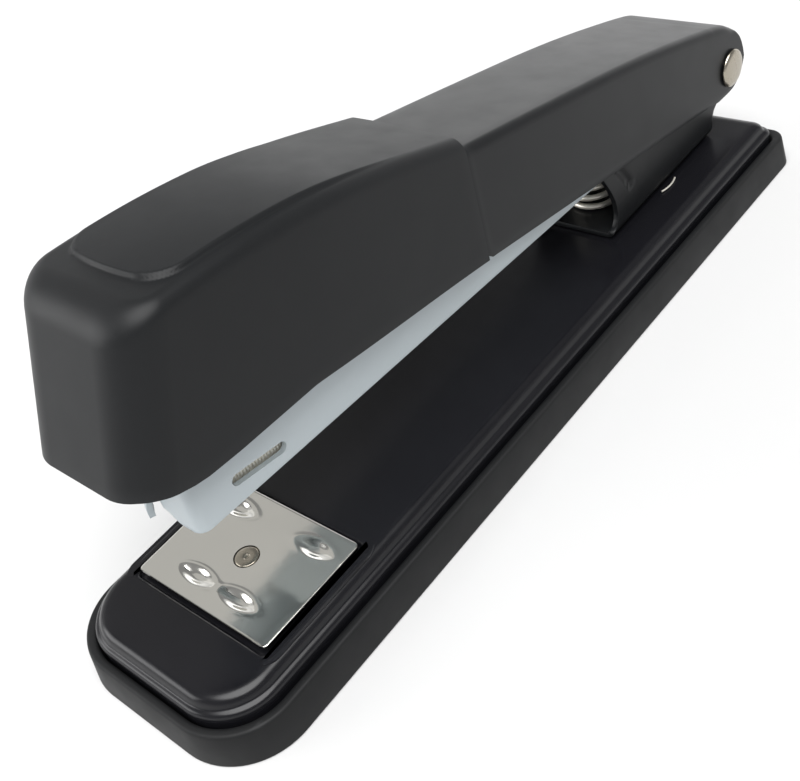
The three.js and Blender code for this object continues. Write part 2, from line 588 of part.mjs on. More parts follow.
function noseCap() {
  const past = 6;                   // the profile runs past the rear edge and is cut square there
  const [[beforeY, beforeZ], [rearY, rearZ]] = CAP_TOP_LINE.slice(-2);
  const slope = (rearZ - beforeZ) / (rearY - beforeY);
  const closed = (inset, bottom) => {
    const shape = capProfile(inset, bottom);
    shape.lineTo(rearY + past, rearZ - inset + slope * past);
    shape.lineTo(rearY + past, bottom);
    return shape;
  };
  const outerPlan = new THREE.Shape();
  const radius = CAP_CORNER_RADIUS;
  const front = -64.3;
  outerPlan.moveTo(radius - CAP_HALF_WIDTH, front);
  outerPlan.lineTo(CAP_HALF_WIDTH - radius, front);
  outerPlan.absarc(CAP_HALF_WIDTH - radius, front + radius, radius, -Math.PI / 2, 0, false);
  outerPlan.lineTo(CAP_HALF_WIDTH, -30);
  outerPlan.lineTo(CAP_REAR_HALF_WIDTH, CAP_REAR);
  outerPlan.lineTo(-CAP_REAR_HALF_WIDTH, CAP_REAR);
  outerPlan.lineTo(-CAP_HALF_WIDTH, -30);
  outerPlan.lineTo(-CAP_HALF_WIDTH, front + radius);
  outerPlan.absarc(radius - CAP_HALF_WIDTH, front + radius, radius, Math.PI, 1.5 * Math.PI, false);

  let cap = sidePrism(closed(0, 22), -CAP_HALF_WIDTH, CAP_HALF_WIDTH, CAP_EDGE_RADIUS, 6)
    .intersect(slab(outerPlan, 20, 70, 8));

  // Raised panel on the top that sinks into the surface toward the rear.
  const ridge = polygon([[PANEL_REAR, 44], ...[...PANEL_TOP_LINE].reverse(), [PANEL_FRONT, 50]]);
  const panelPlan = planOutline(PANEL_HALF_WIDTH, PANEL_FRONT + 0.1, PANEL_REAR, 2.6, 1.0);
  cap = cap.add(sidePrism(ridge, -PANEL_HALF_WIDTH, PANEL_HALF_WIDTH).intersect(slab(panelPlan, 40, 62, 5)));

  const hollowPlan = planOutline(CAP_INNER_HALF_WIDTH, -62.6, 10, 4.4, 0.1);
  const hollow = sidePrism(closed(1.7, 10), -CAP_INNER_HALF_WIDTH, CAP_INNER_HALF_WIDTH, 1.0, 6)
    .intersect(slab(hollowPlan, 0, 70, 8));
  cap = cap.subtract(hollow);
  const underside = polygon([
    [-80, 0], [-80, 38.4], [-62, 38.1], [-58, 36.7], [-54, 35.6],
    [-36.0, 34.1], [CAP_REAR + 1, 27.6], [20, 0],
  ]);
  return cap.subtract(sidePrism(underside, -20, 20));
}

// ---------------------------------------------------------------- assembly: base
addPiece('rubber_base_boot', rubberBoot(), RUBBER);
addPiece('base_plate', basePan(), BLACK_ENAMEL);
addPiece('rear_bracket', rearBracket(), BLACK_SATIN);
const bracketRivet = riveted(1.4, 2.6, 0.6, DECK_Z - PAN_SHEET - 0.9, BRACKET_FLOOR_Z + BRACKET_SHEET + 0.9);
BRACKET_RIVETS_Y.forEach((y, i) => {
  addPiece(`bracket_rivet_${i + 1}`, turned(bracketRivet, 0, y, 14), BLACK_SATIN);
});
addPiece('bracket_stake_right', stake(1), STEEL);
addPiece('bracket_stake_left', stake(-1), STEEL);
const pinEnd = 10.9;
addPiece('pivot_rivet', turnedAcross([
  [0, -pinEnd], [2.3, -pinEnd + 0.1],
  [RIVET_HEAD_RADIUS, -pinEnd + 0.5], [RIVET_HEAD_RADIUS, -ARM_HALF_WIDTH - GAP],
  [PIN_RADIUS, -ARM_HALF_WIDTH - GAP], [PIN_RADIUS, ARM_HALF_WIDTH + GAP],
  [RIVET_HEAD_RADIUS, ARM_HALF_WIDTH + GAP], [RIVET_HEAD_RADIUS, pinEnd - 0.5],
  [2.3, pinEnd - 0.1], [0, pinEnd],
], PIVOT_Y, PIVOT_Z, 24), NICKEL);
addPiece('pivot_sleeve', turnedAcross([
  [PIN_RADIUS + 0.25, -6.2], [3.1, -6.2], [3.1, 6.2], [PIN_RADIUS + 0.25, 6.2], [PIN_RADIUS + 0.25, -6.2],
], PIVOT_Y, PIVOT_Z, 20), STEEL);
addPiece('lift_spring', coil(4.2, 0.5, 5, 7.4, 12), STEEL).position.set(0, LIFT_SPRING_Y, 10.45);

// ---------------------------------------------------------------- assembly: anvil
addPiece('anvil_plate', anvilPlate(), CHROME);
addPiece('anvil_post', anvilPost(), NICKEL);
addPiece('anvil_button', anvilButton(), STEEL);
addPiece('anvil_spring', coil(4.2, 0.3, 4, 3.1, 10), STEEL).position.set(0, ANVIL_Y, 3.4);

// ---------------------------------------------------------------- assembly: magazine
addPiece('magazine_channel', magazineChannel(), GREY_PAINT, magazine);
addPiece('magazine_core', magazineCore(), GREY_PAINT, magazine);
addPiece('core_pin', turnedAcross(pin(1.0, -7.2, 7.2), CORE_PIN_Y, CORE_PIN_Z, 12), STEEL, magazine);
addPiece('staple_strip', stapleStrip(), STEEL, magazine);
addPiece('pusher', pusher(), STEEL, magazine);
const rod = addPiece('pusher_rod', new THREE.CylinderGeometry(0.8, 0.8, 38, 10), STEEL, magazine);
rod.position.set(0, -60.9, ROD_Z);
const pusherSpring = addPiece('pusher_spring', coil(1.6, 0.3, 11, 26, 8), STEEL, magazine);
pusherSpring.position.set(0, -43.0, ROD_Z);
pusherSpring.rotation.x = Math.PI / 2;
addPiece('rod_anchor', rodAnchor(), STEEL, magazine);

// ---------------------------------------------------------------- assembly: arm
addPiece('arm_channel', armChannel(), BLACK_SATIN);
addPiece('nose_cap', noseCap(), CAP_PLASTIC);
addPiece('driver_blade', driverBlade(), STEEL, driver);
const driverTop = armTopAt(DRIVER_RIVET_Y);
const driverRivet = riveted(1.25, 2.4, 0.6, driverTop - 3.3, driverTop + 1.25);
addPiece('driver_rivet', turned(driverRivet, 0, DRIVER_RIVET_Y, 14), STEEL);
addPiece('return_leaf_spring', leafSpring(), STEEL);
const leafTop = armTopAt(LEAF_RIVET_Y);
const leafRivet = riveted(1.25, 2.4, 0.6, leafTop - 2.9, leafTop + 1.25);
addPiece('leaf_rivet', turned(leafRivet, 0, LEAF_RIVET_Y, 14), STEEL);

export default stapler;
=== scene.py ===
"""Desk stapler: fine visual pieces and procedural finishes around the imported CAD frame.

Lengths in this file are millimetres in the frame's own axes (X across, nose toward -Y, Z up) and are
scaled to metres when a mesh is made. The magazine, its contents and the driver blade are drawn in level
frames of their own, with the origin on the pivot, and turned up to their rest angles.
"""
import math

import bmesh
import bpy
import numpy as np
from mathutils import Matrix, Vector

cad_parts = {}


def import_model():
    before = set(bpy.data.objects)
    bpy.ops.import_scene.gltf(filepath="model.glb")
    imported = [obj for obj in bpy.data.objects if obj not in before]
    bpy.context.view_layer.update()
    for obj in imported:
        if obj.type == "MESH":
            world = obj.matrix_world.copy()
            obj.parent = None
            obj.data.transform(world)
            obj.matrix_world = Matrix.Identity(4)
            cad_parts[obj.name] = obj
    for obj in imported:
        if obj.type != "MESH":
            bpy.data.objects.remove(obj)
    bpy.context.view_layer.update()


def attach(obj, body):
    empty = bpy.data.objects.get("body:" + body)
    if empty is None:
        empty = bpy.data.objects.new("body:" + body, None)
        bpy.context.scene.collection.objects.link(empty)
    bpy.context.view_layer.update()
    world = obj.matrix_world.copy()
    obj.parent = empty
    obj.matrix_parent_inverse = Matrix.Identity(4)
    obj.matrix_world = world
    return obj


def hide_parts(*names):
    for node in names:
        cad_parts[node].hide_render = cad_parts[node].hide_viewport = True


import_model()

MM = 0.001
PIVOT = (0.0, 67.0, 19.0)
MAGAZINE_LEAN = 4.12                 # degrees, nose up
ARM_LEAN = 3.4                       # degrees more than the magazine
QUARTER = 1.5708                     # where a rounded corner's sweep ends
BASE_HALF, BASE_FRONT, BASE_REAR = 18.75, -72.08, 72.0
ANVIL_Y = -49.5
ANVIL_TOP = 9.45
ANVIL_HALF_X, ANVIL_HALF_Y = 12.5, 9.2
DECK_Z = 8.75
PIVOT_HOLE = 2.3                     # radius through bracket, magazine and arm
BRACKET_RIVETS = (46.5, 56.5)        # y of the two rivets on the deck
BRACKET_HOLE = 1.7
CORE_PIN = (0, -40.2, 1.2)           # in the magazine's level frame
CORE_PIN_HOLE = 1.3
LEAF_RIVET_Y, DRIVER_RIVET_Y = -20.0, -46.6
ARM_HOLE = 1.6
ARM_FRONT = -49.5
CAP_REAR = -2.4
RNG = np.random.default_rng(7)


# ------------------------------------------------------------------ mesh helpers
def pivot_frame(nosed_up):
    """Level coordinates with the origin on the pivot, turned so that the nose points up by an angle."""
    return Matrix.Translation(Vector(PIVOT)) @ Matrix.Rotation(-nosed_up, 4, "X")


LEVEL = Matrix.Identity(4)
MAGAZINE = pivot_frame(math.radians(MAGAZINE_LEAN))
DRIVER = pivot_frame(math.radians(MAGAZINE_LEAN + ARM_LEAN))


def new_mesh(name, verts, faces, turn=LEVEL, merge=True):
    """An object from points in millimetres, with its faces turned outward and doubles merged."""
    mesh = bpy.data.meshes.new(name)
    mesh.from_pydata([tuple(turn @ Vector(v)) for v in verts], [], faces)
    obj = bpy.data.objects.new(name, mesh)
    bpy.context.scene.collection.objects.link(obj)
    bm = bmesh.new()
    bm.from_mesh(mesh)
    if merge:
        bmesh.ops.remove_doubles(bm, verts=bm.verts, dist=1e-4)
        bmesh.ops.dissolve_degenerate(bm, edges=bm.edges, dist=1e-5)
    bmesh.ops.recalc_face_normals(bm, faces=bm.faces)
    bm.to_mesh(mesh)
    bm.free()
    return obj


def apply_modifiers(obj):
    depsgraph = bpy.context.evaluated_depsgraph_get()
    depsgraph.update()
    mesh = bpy.data.meshes.new_from_object(obj.evaluated_get(depsgraph))
    obj.modifiers.clear()
    obj.data = mesh


def solidify(obj, thickness, offset=-1.0):
    modifier = obj.modifiers.new("sheet", "SOLIDIFY")
    modifier.thickness = thickness
    modifier.offset = offset
    apply_modifiers(obj)


def bevel(obj, width, segments=2, angle=40):
    modifier = obj.modifiers.new("edge", "BEVEL")
    modifier.width = width
    modifier.segments = segments
    modifier.limit_method = "ANGLE"
    modifier.angle_limit = math.radians(angle)
    modifier.use_clamp_overlap = True
    apply_modifiers(obj)


def combine(obj, cutter, operation="DIFFERENCE"):
    """Joins or cuts with a helper mesh, which is then removed."""
    modifier = obj.modifiers.new("cut", "BOOLEAN")
    modifier.object = cutter
    modifier.operation = operation
    modifier.solver = "EXACT"
    apply_modifiers(obj)
    bpy.data.objects.remove(cutter)


def finish_piece(obj, body, node, material, smooth_angle=32):
    """Scales the piece to metres, shades it, and hands it to its CAD body."""
    obj.name = "fine_" + node
    obj.data.transform(Matrix.Scale(MM, 4))
    mesh = obj.data
    mesh.polygons.foreach_set("use_smooth", [True] * len(mesh.polygons))
    mesh.set_sharp_from_angle(angle=math.radians(smooth_angle))
    mesh.materials.clear()
    mesh.materials.append(material)
    mesh.update()
    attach(obj, body)
    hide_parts(node)
    return obj


def grid_faces(rows, columns, closed=False):
    """Faces between neighbouring rows of points; each row may close on itself."""
    faces = []
    for i in range(rows - 1):
        for j in range(columns if closed else columns - 1):
            near, far, k = i * columns, (i + 1) * columns, (j + 1) % columns
            faces.append((near + j, near + k, far + k, far + j))
    return faces


def grid(name, rows, turn=LEVEL, skip=None):
    """A surface from rows of points; `skip` says which cells (row, column) are left open."""
    count = len(rows[0])
    faces = grid_faces(len(rows), count)
    if skip:
        faces = [f for f in faces if not skip(f[0] // count, f[0] % count)]
    return new_mesh(name, [p for row in rows for p in row], faces, turn)


def rings(name, loops, turn=LEVEL):
    """A closed surface through level loops of equal length, with a flat face over each end."""
    count = len(loops[0])
    faces = grid_faces(len(loops), count, closed=True)
    faces.append(tuple(range(count)))
    start = (len(loops) - 1) * count
    faces.append(tuple(range(start, start + count)))
    return new_mesh(name, [p for loop in loops for p in loop], faces, turn)


def plan(half, front, rear, front_radius, rear_radius, z, steps=12):
    """Rounded rectangle in plan at height z, anticlockwise from the front left corner."""
    corners = [
        (front_radius - half, front + front_radius, front_radius, math.pi),
        (half - front_radius, front + front_radius, front_radius, 1.5 * math.pi),
        (half - rear_radius, rear - rear_radius, rear_radius, 0.0),
        (rear_radius - half, rear - rear_radius, rear_radius, 0.5 * math.pi),
    ]
    points = []
    for x, y, radius, start in corners:
        for i in range(steps + 1):
            angle = start + 0.5 * math.pi * i / steps
            points.append((x + radius * math.cos(angle), y + radius * math.sin(angle), z))
    return points


def block(name, low, high, turn=LEVEL):
    x0, y0, z0 = low
    x1, y1, z1 = high
    return rings(name, [[(x0, y0, z), (x1, y0, z), (x1, y1, z), (x0, y1, z)] for z in (z0, z1)], turn)


def lathe(name, profile, centre, axis="Z", steps=48, turn=LEVEL):
    """Turned piece: profile points are (radius, height along the axis); zero radii close the ends."""
    x, y, z = centre
    verts, faces, loops = [], [], []
    for radius, height in profile:
        if radius < 1e-6:
            loops.append([len(verts)])
            verts.append((0.0, 0.0, height))
            continue
        loops.append(list(range(len(verts), len(verts) + steps)))
        for i in range(steps):
            angle = 2 * math.pi * i / steps
            verts.append((radius * math.cos(angle), radius * math.sin(angle), height))
    for low, high in zip(loops, loops[1:]):
        for i in range(steps):
            j = (i + 1) % steps
            if len(low) == 1 and len(high) == 1:
                continue
            if len(low) == 1:
                faces.append((low[0], high[i], high[j]))
            elif len(high) == 1:
                faces.append((low[i], low[j], high[0]))
            else:
                faces.append((low[i], low[j], high[j], high[i]))
    if axis == "X":
        verts = [(h, a, b) for a, b, h in verts]
    verts = [(a + x, b + y, c + z) for a, b, c in verts]
    return new_mesh(name, verts, faces, turn)


def drill(obj, radius, low, high, centre, axis="Z", steps=32, turn=LEVEL):
    """Cuts a round hole that runs from low to high along the axis through the centre."""
    profile = [(0, low), (radius, low), (radius, high), (0, high)]
    combine(obj, lathe("hole", profile, centre, axis, steps, turn))


def tube(name, path, radius, sides=10, turn=LEVEL):
    """Round wire along a path of points, closed at both ends."""
    path = [Vector(p) for p in path]
    loops = []
    normal = None
    for i, p in enumerate(path):
        ahead = path[min(i + 1, len(path) - 1)]
        behind = path[max(i - 1, 0)]
        tangent = (ahead - behind).normalized()
        if normal is None:
            normal = tangent.orthogonal().normalized()
        normal = (normal - tangent * normal.dot(tangent)).normalized()
        across = tangent.cross(normal)
        loops.append([
            tuple(p + radius * (math.cos(a) * normal + math.sin(a) * across))
            for a in (2 * math.pi * k / sides for k in range(sides))
        ])
    return rings(name, loops, turn)


def coil_path(radius, turns, height, base, axis="Z", flat_turns=0.9, steps=26):
    """Compression spring whose end turns lie flat; `base` is the centre of its first end."""
    x, y, z = base
    points = []
    total = int(turns * steps)
    for i in range(total + 1):
        t = i / steps
        share = (t - flat_turns) / (turns - 2 * flat_turns)
        rise = height * min(max(share, 0.0), 1.0) + 0.04 * t
        angle = 2 * math.pi * t
        if axis == "Z":
            points.append((x + radius * math.cos(angle), y + radius * math.sin(angle), z + rise))
        else:
            points.append((x + radius * math.cos(angle), y + rise, z + radius * math.sin(angle)))
    return points


def smoothstep(low, high, value):
    t = min(max((value - low) / (high - low), 0.0), 1.0)
    return t * t * (3 - 2 * t)


def spread(low, high, count, power=1.0):
    """Numbers from low to high; a power above 1 packs them near low."""
    return [low + (high - low) * (i / (count - 1)) ** power for i in range(count)]


def line_height(points, y):
    """Value at y along a line of (position, value) points, level beyond its ends."""
    return float(np.interp(y, [p[0] for p in points], [p[1] for p in points]))


# ------------------------------------------------------------------ materials
SCRATCH_DEPTH = 2e-5                 # metres
CONVEX_POINTINESS = (0.52, 0.60)
COAT_ROUGHNESS = 0.12
DRIFT_SCALE = 60.0                   # per metre
BLOTCH_SCALE = 220.0


def node(tree, kind, **values):
    made = tree.nodes.new(kind)
    for key, value in values.items():
        setattr(made, key, value)
    return made


def noise(tree, vector, scale, detail, roughness=0.5):
    made = node(tree, "ShaderNodeTexNoise")
    made.inputs["Scale"].default_value = scale
    made.inputs["Detail"].default_value = detail
    made.inputs["Roughness"].default_value = roughness
    tree.links.new(vector, made.inputs["Vector"])
    return made.outputs["Fac"]


def remap(tree, value, from_range, to_range=(0.0, 1.0)):
    made = node(tree, "ShaderNodeMapRange")
    made.inputs["From Min"].default_value, made.inputs["From Max"].default_value = from_range
    made.inputs["To Min"].default_value, made.inputs["To Max"].default_value = to_range
    tree.links.new(value, made.inputs["Value"])
    return made.outputs["Result"]


def bump(tree, height, strength, distance, under=None):
    """A bumped normal, laid over the one that another bump gives."""
    made = node(tree, "ShaderNodeBump")
    made.inputs["Strength"].default_value = strength
    made.inputs["Distance"].default_value = distance
    tree.links.new(height, made.inputs["Height"])
    if under is not None:
        tree.links.new(under, made.inputs["Normal"])
    return made.outputs["Normal"]


def hairlines(tree, vector, strength, stretch, under):
    """Fine scratches: noise that is drawn out along the axis with the smallest stretch value."""
    mapping = node(tree, "ShaderNodeMapping")
    mapping.inputs["Scale"].default_value = stretch
    tree.links.new(vector, mapping.inputs["Vector"])
    hair = noise(tree, mapping.outputs["Vector"], 1.0, 6.0, 0.7)
    return bump(tree, hair, strength, SCRATCH_DEPTH, under)


def tinted(color, factor, lift=0.0):
    return (*[min(1.0, c * factor + lift) for c in color], 1)


def rubbed_and_highlit(tree, color, wear_and_sheen, patches, under):
    """Rubbed edges and a painted edge highlight: convex places get a little lighter, in patches."""
    shape = node(tree, "ShaderNodeNewGeometry")
    edge = remap(tree, shape.outputs["Pointiness"], CONVEX_POINTINESS)
    patchy = node(tree, "ShaderNodeMath", operation="MULTIPLY")
    tree.links.new(edge, patchy.inputs[0])
    tree.links.new(patches, patchy.inputs[1])
    mixed = node(tree, "ShaderNodeMix", data_type="RGBA")
    # The lighter colour on convex edges is partly wear and partly a painted highlight.
    mixed.inputs["B"].default_value = tinted(color, 1 + wear_and_sheen, 0.01 * wear_and_sheen)
    tree.links.new(patchy.outputs["Value"], mixed.inputs["Factor"])
    tree.links.new(under, mixed.inputs["A"])
    return mixed.outputs["Result"]


def surface(name, color, roughness, metallic=0.0, grain=None, blotch=0.06, tint=0.0, scratches=None,
            coat=0.0, specular=0.5, wear_and_sheen=0.0):
    """A finish: colour drift, blotchy roughness, fine grain in the bump, scratches, and rubbed edges that
    are partly a painted edge highlight.

    grain is (scale per metre, strength, distance in metres); scratches is (strength, stretch by axis).
    """
    material = bpy.data.materials.new(name)
    material.use_nodes = True
    tree = material.node_tree
    shader = tree.nodes["Principled BSDF"]
    shader.inputs["Metallic"].default_value = metallic
    shader.inputs["Specular IOR Level"].default_value = specular
    if coat:
        shader.inputs["Coat Weight"].default_value = coat
        shader.inputs["Coat Roughness"].default_value = COAT_ROUGHNESS
    place = node(tree, "ShaderNodeTexCoord").outputs["Object"]

    drift = node(tree, "ShaderNodeMix", data_type="RGBA")
    drift.inputs["A"].default_value = tinted(color, 1 - tint)
    drift.inputs["B"].default_value = tinted(color, 1 + tint)
    tree.links.new(noise(tree, place, DRIFT_SCALE, 4.0), drift.inputs["Factor"])
    shade = drift.outputs["Result"]

    blots = noise(tree, place, BLOTCH_SCALE, 5.0)
    rough = remap(tree, blots, (0.25, 0.75), (roughness - blotch, roughness + blotch))

    normal = None
    if grain:
        scale, strength, distance = grain
        normal = bump(tree, noise(tree, place, scale, 3.0, 0.55), strength, distance)
    if scratches:
        strength, stretch = scratches
        normal = hairlines(tree, place, strength, stretch, normal)
    if normal is not None:
        tree.links.new(normal, shader.inputs["Normal"])
    # Convex edges are painted lighter: partly rubbed wear, partly a painted edge highlight.
    if wear_and_sheen:
        shade = rubbed_and_highlit(tree, color, wear_and_sheen, blots, shade)
    tree.links.new(shade, shader.inputs["Base Color"])
    tree.links.new(rough, shader.inputs["Roughness"])
    return material


# Each finish sets how much its convex edges are painted lighter, as rubbed wear and a painted edge
# highlight together.
ENAMEL = surface("black_enamel", (0.006, 0.006, 0.0075), 0.24, grain=(2600, 0.05, 2e-5), blotch=0.03,
                 tint=0.2, wear_and_sheen=0.6, specular=0.30)
SATIN = surface("black_satin", (0.0082, 0.0088, 0.0096), 0.33, grain=(4200, 0.12, 2e-5), blotch=0.03,
                tint=0.15, wear_and_sheen=0.5, specular=0.2)
PLASTIC = surface("cap_plastic", (0.0105, 0.0112, 0.012), 0.42, grain=(5200, 0.28, 3e-5), blotch=0.03,
                  tint=0.12, wear_and_sheen=0.4, specular=0.18)
RUBBER = surface("rubber", (0.0062, 0.0065, 0.007), 0.58, grain=(3200, 0.22, 3e-5), blotch=0.06,
                 tint=0.22, wear_and_sheen=0.8, specular=0.24)
PAINT = surface("grey_paint", (0.45, 0.50, 0.525), 0.40, grain=(3000, 0.06, 2e-5), blotch=0.04,
                tint=0.03, coat=0.1, specular=0.4)
CHROME = surface("chrome", (0.80, 0.79, 0.745), 0.14, metallic=1.0, grain=(150, 0.2, 2e-4), blotch=0.04,
                 tint=0.03, scratches=(0.06, (5200, 500, 900)))
NICKEL = surface("nickel", (0.42, 0.385, 0.32), 0.27, metallic=1.0, grain=(3800, 0.05, 2e-5), blotch=0.06,
                 tint=0.05)
STEEL = surface("steel", (0.60, 0.59, 0.56), 0.3, metallic=1.0, blotch=0.08, tint=0.08,
                scratches=(0.12, (2500, 260, 2500)))
STAPLES = surface("staple_steel", (0.80, 0.77, 0.69), 0.34, metallic=0.6, blotch=0.07, tint=0.06,
                  grain=(2600, 0.06, 2e-5))


# ------------------------------------------------------------------ rubber boot
BUTTON_HOLE = 6.3
GRIP_GROOVES = (-30, -15, 15, 30, 45, 60)
GROOVE_HALF_X, GROOVE_HALF_Y = 13, 0.8


def boot_outside(inset, z):
    return plan(BASE_HALF - inset, BASE_FRONT + inset, BASE_REAR - inset, 10.8 - inset,
                3.6 - min(inset, 1.2), z, 20)


def boot_inside(inset, z):
    return plan(16.5 - inset, -69.9 + inset, 69.8 - inset, 8.8 - inset, 2.2 - min(inset, 0.6), z, 20)


def grip_groove(y):
    """Cutter for one groove across the underside, a little wider at its mouth."""
    widths = ((0.05, -1.0), (0.0, 0.3), (-0.12, 0.5))
    return rings("groove", [
        plan(GROOVE_HALF_X, y - GROOVE_HALF_Y - d, y + GROOVE_HALF_Y + d, 0.7, 0.7, z, 5) for d, z in widths
    ])


def rubber_boot():
    loops = [boot_outside(inset, z) for inset, z in ((0.25, 0.0), (0.07, 0.07), (0.0, 0.25), (0.72, 4.9))]
    for a in spread(0.2, 1.57, 6):
        loops.append(boot_outside(0.76 + 0.5 * (1 - math.cos(a)), 5.0 + 0.5 * math.sin(a)))
    rim = ((-0.55, 5.48), (-0.3, 5.42), (-0.12, 5.28), (-0.02, 5.05), (0.0, 4.8), (0.0, 1.5), (0.3, 1.2))
    loops += [boot_inside(inset, z) for inset, z in rim]
    boot = rings("rubber_base_boot", loops)
    drill(boot, BUTTON_HOLE, -2, 3, (0, ANVIL_Y, 0), steps=64)
    for y in GRIP_GROOVES:
        combine(boot, grip_groove(y))
    finish_piece(boot, "base", "rubber_base_boot", RUBBER)


# ------------------------------------------------------------------ base pan
# Side section of the pan's pressed edge: how far inside the skirt, and at what height.
PAN_EDGE = [
    (0.0, 1.5), (0.0, 5.2), (0.0, 6.35), (0.05, 6.6), (0.16, 6.83), (0.32, 7.0), (0.5, 7.1), (0.66, 7.16),
    (0.78, 7.24), (0.87, 7.38), (0.95, 7.6), (1.05, 7.86), (1.2, 8.12), (1.42, 8.36), (1.7, 8.54),
    (2.05, 8.67), (2.45, 8.73), (2.9, 8.75), (3.4, 8.75),
]


# Section of the lip round the anvil's well: how far outside the anvil, and at what height.
WELL_LIP = [
    (1.2, 8.75), (1.02, 8.74), (0.84, 8.69), (0.68, 8.60), (0.56, 8.46), (0.48, 8.28), (0.43, 8.1),
    (0.3, 8.0),
]
WELL_STEPS = 6                       # steps in each of the well's four corners


def pan_loop(inset, z):
    half, front, rear = 16.2, -69.6, 69.5
    rear_radius = max(1.9 - 0.35 * inset, 0.7)
    return plan(half - inset, front + inset, rear - inset, 8.5 - 0.8 * inset, rear_radius, z, 18)


def well_loop(margin, z):
    half_x, half_y, radius = ANVIL_HALF_X + margin, ANVIL_HALF_Y + margin, 1.1 + 0.5 * margin
    return plan(half_x, ANVIL_Y - half_y, ANVIL_Y + half_y, radius, radius, z, WELL_STEPS)


def base_pan():
    loops = [pan_loop(inset, z) for inset, z in PAN_EDGE]
    count = len(loops[0])
    verts = [p for loop in loops for p in loop]
    faces = grid_faces(len(loops), count, closed=True)
    well_start = len(verts)
    well_count = 4 * (WELL_STEPS + 1)
    for margin, z in WELL_LIP:
        verts += well_loop(margin, z)
    for f in grid_faces(len(WELL_LIP), well_count, closed=True):
        faces.append(tuple(well_start + i for i in f))
    well_floor = well_start + (len(WELL_LIP) - 1) * well_count
    faces.append(tuple(well_floor + i for i in range(well_count)))
    pan = new_mesh("base_pan", verts, faces)
    bm = bmesh.new()
    bm.from_mesh(pan.data)
    # The flat deck spans from the edge loop to the lip of the well.
    top = [e for e in bm.edges if e.is_boundary and all(v.co.z > 8.7 for v in e.verts)]
    bmesh.ops.triangle_fill(bm, use_beauty=True, use_dissolve=False, edges=top)
    bmesh.ops.recalc_face_normals(bm, faces=bm.faces)
    deck = max(bm.faces, key=lambda f: f.calc_center_median().z)
    if deck.normal.z < 0:
        bmesh.ops.reverse_faces(bm, faces=bm.faces)
    bm.to_mesh(pan.data)
    bm.free()
    solidify(pan, 0.9)
    drill(pan, 2.3, 5, 12, (0, ANVIL_Y, 0), steps=40)
    for y in BRACKET_RIVETS:
        drill(pan, BRACKET_HOLE, 5, 12, (0, y, 0))
    finish_piece(pan, "base", "base_plate", ENAMEL)


# ------------------------------------------------------------------ anvil
# Clinching pockets: centre x, centre y from the anvil's middle, half length, half width, deeper end in x.
POCKETS = [
    (-3.95, -5.7, 3.4, 1.3, -1),
    (3.95, -5.7, 3.4, 1.3, 1),
    (-7.6, 5.7, 3.3, 1.4, 1),
    (7.6, 5.7, 3.3, 1.4, -1),
]


def anvil_height(x, y):
    """Height of the plate's top over its flat: the pockets and their soft raised lips."""
    z = 0.0
    for cx, cy, a, b, deep_end in POCKETS:
        u, v = (x - cx) / a, (y - ANVIL_Y - cy) / b
        e = (abs(u) ** 1.7 + abs(v) ** 1.7) ** (1 / 1.7)
        z -= 0.50 * (1 + 0.3 * deep_end * u) * math.exp(-(e / 0.74) ** 3.2)
        z += 0.08 * math.exp(-((e - 1.14) / 0.24) ** 2)
    return min(z, 0.1)


def rimmed(half, inner, count):
    """Stations from -half to half that lie close together at both rims."""
    rim = (0.0, 0.05, 0.18)
    return [d - half for d in rim] + spread(-inner, inner, count) + [half - d for d in reversed(rim)]


def anvil_plate():
    half_x, half_y, thick, edge = ANVIL_HALF_X, ANVIL_HALF_Y, 0.6, 0.18
    xs = rimmed(half_x, 12.1, 150)
    ys = rimmed(half_y, 8.8, 112)
    under_xs = xs[:3] + [-8, 0, 8] + xs[-3:]

    def point(x, y, top):
        """Corners are pulled round, and the rim rolls over by the edge radius."""
        r = 0.7
        cx, cy = half_x - r, half_y - r
        if abs(x) > cx and abs(y) > cy:
            dx, dy = abs(x) - cx, abs(y) - cy
            reach = max(dx, dy)
            k = reach / math.hypot(dx, dy)
            px, py = math.copysign(cx + dx * k, x), math.copysign(cy + dy * k, y)
        else:
            px, py = x, y
        inset = min(half_x - abs(x), half_y - abs(y))
        roll = edge * (1 - math.sqrt(max(0.0, 1 - (1 - min(inset / edge, 1.0)) ** 2)))
        if not top:
            return (px, py + ANVIL_Y, ANVIL_TOP - thick + 0.3 * roll)
        return (px, py + ANVIL_Y, ANVIL_TOP - roll + anvil_height(px, py + ANVIL_Y))

    top = [[point(x, y, True) for x in xs] for y in ys]
    under = [[point(x, y, False) for x in under_xs] for y in ys]
    verts = [p for row in top for p in row]
    faces = grid_faces(len(ys), len(xs))
    start = len(verts)
    verts += [p for row in under for p in row]
    faces += [tuple(start + i for i in f) for f in grid_faces(len(ys), len(under_xs))]
    plate = new_mesh("anvil_plate", verts, faces)
    bm = bmesh.new()
    bm.from_mesh(plate.data)
    loose = [e for e in bm.edges if e.is_boundary]
    bmesh.ops.bridge_loops(bm, edges=loose)
    bmesh.ops.recalc_face_normals(bm, faces=bm.faces)
    bm.to_mesh(plate.data)
    bm.free()
    drill(plate, 1.88, 5, 12, (0, ANVIL_Y, 0), steps=48)
    finish_piece(plate, "anvil", "anvil_plate", CHROME, 40)


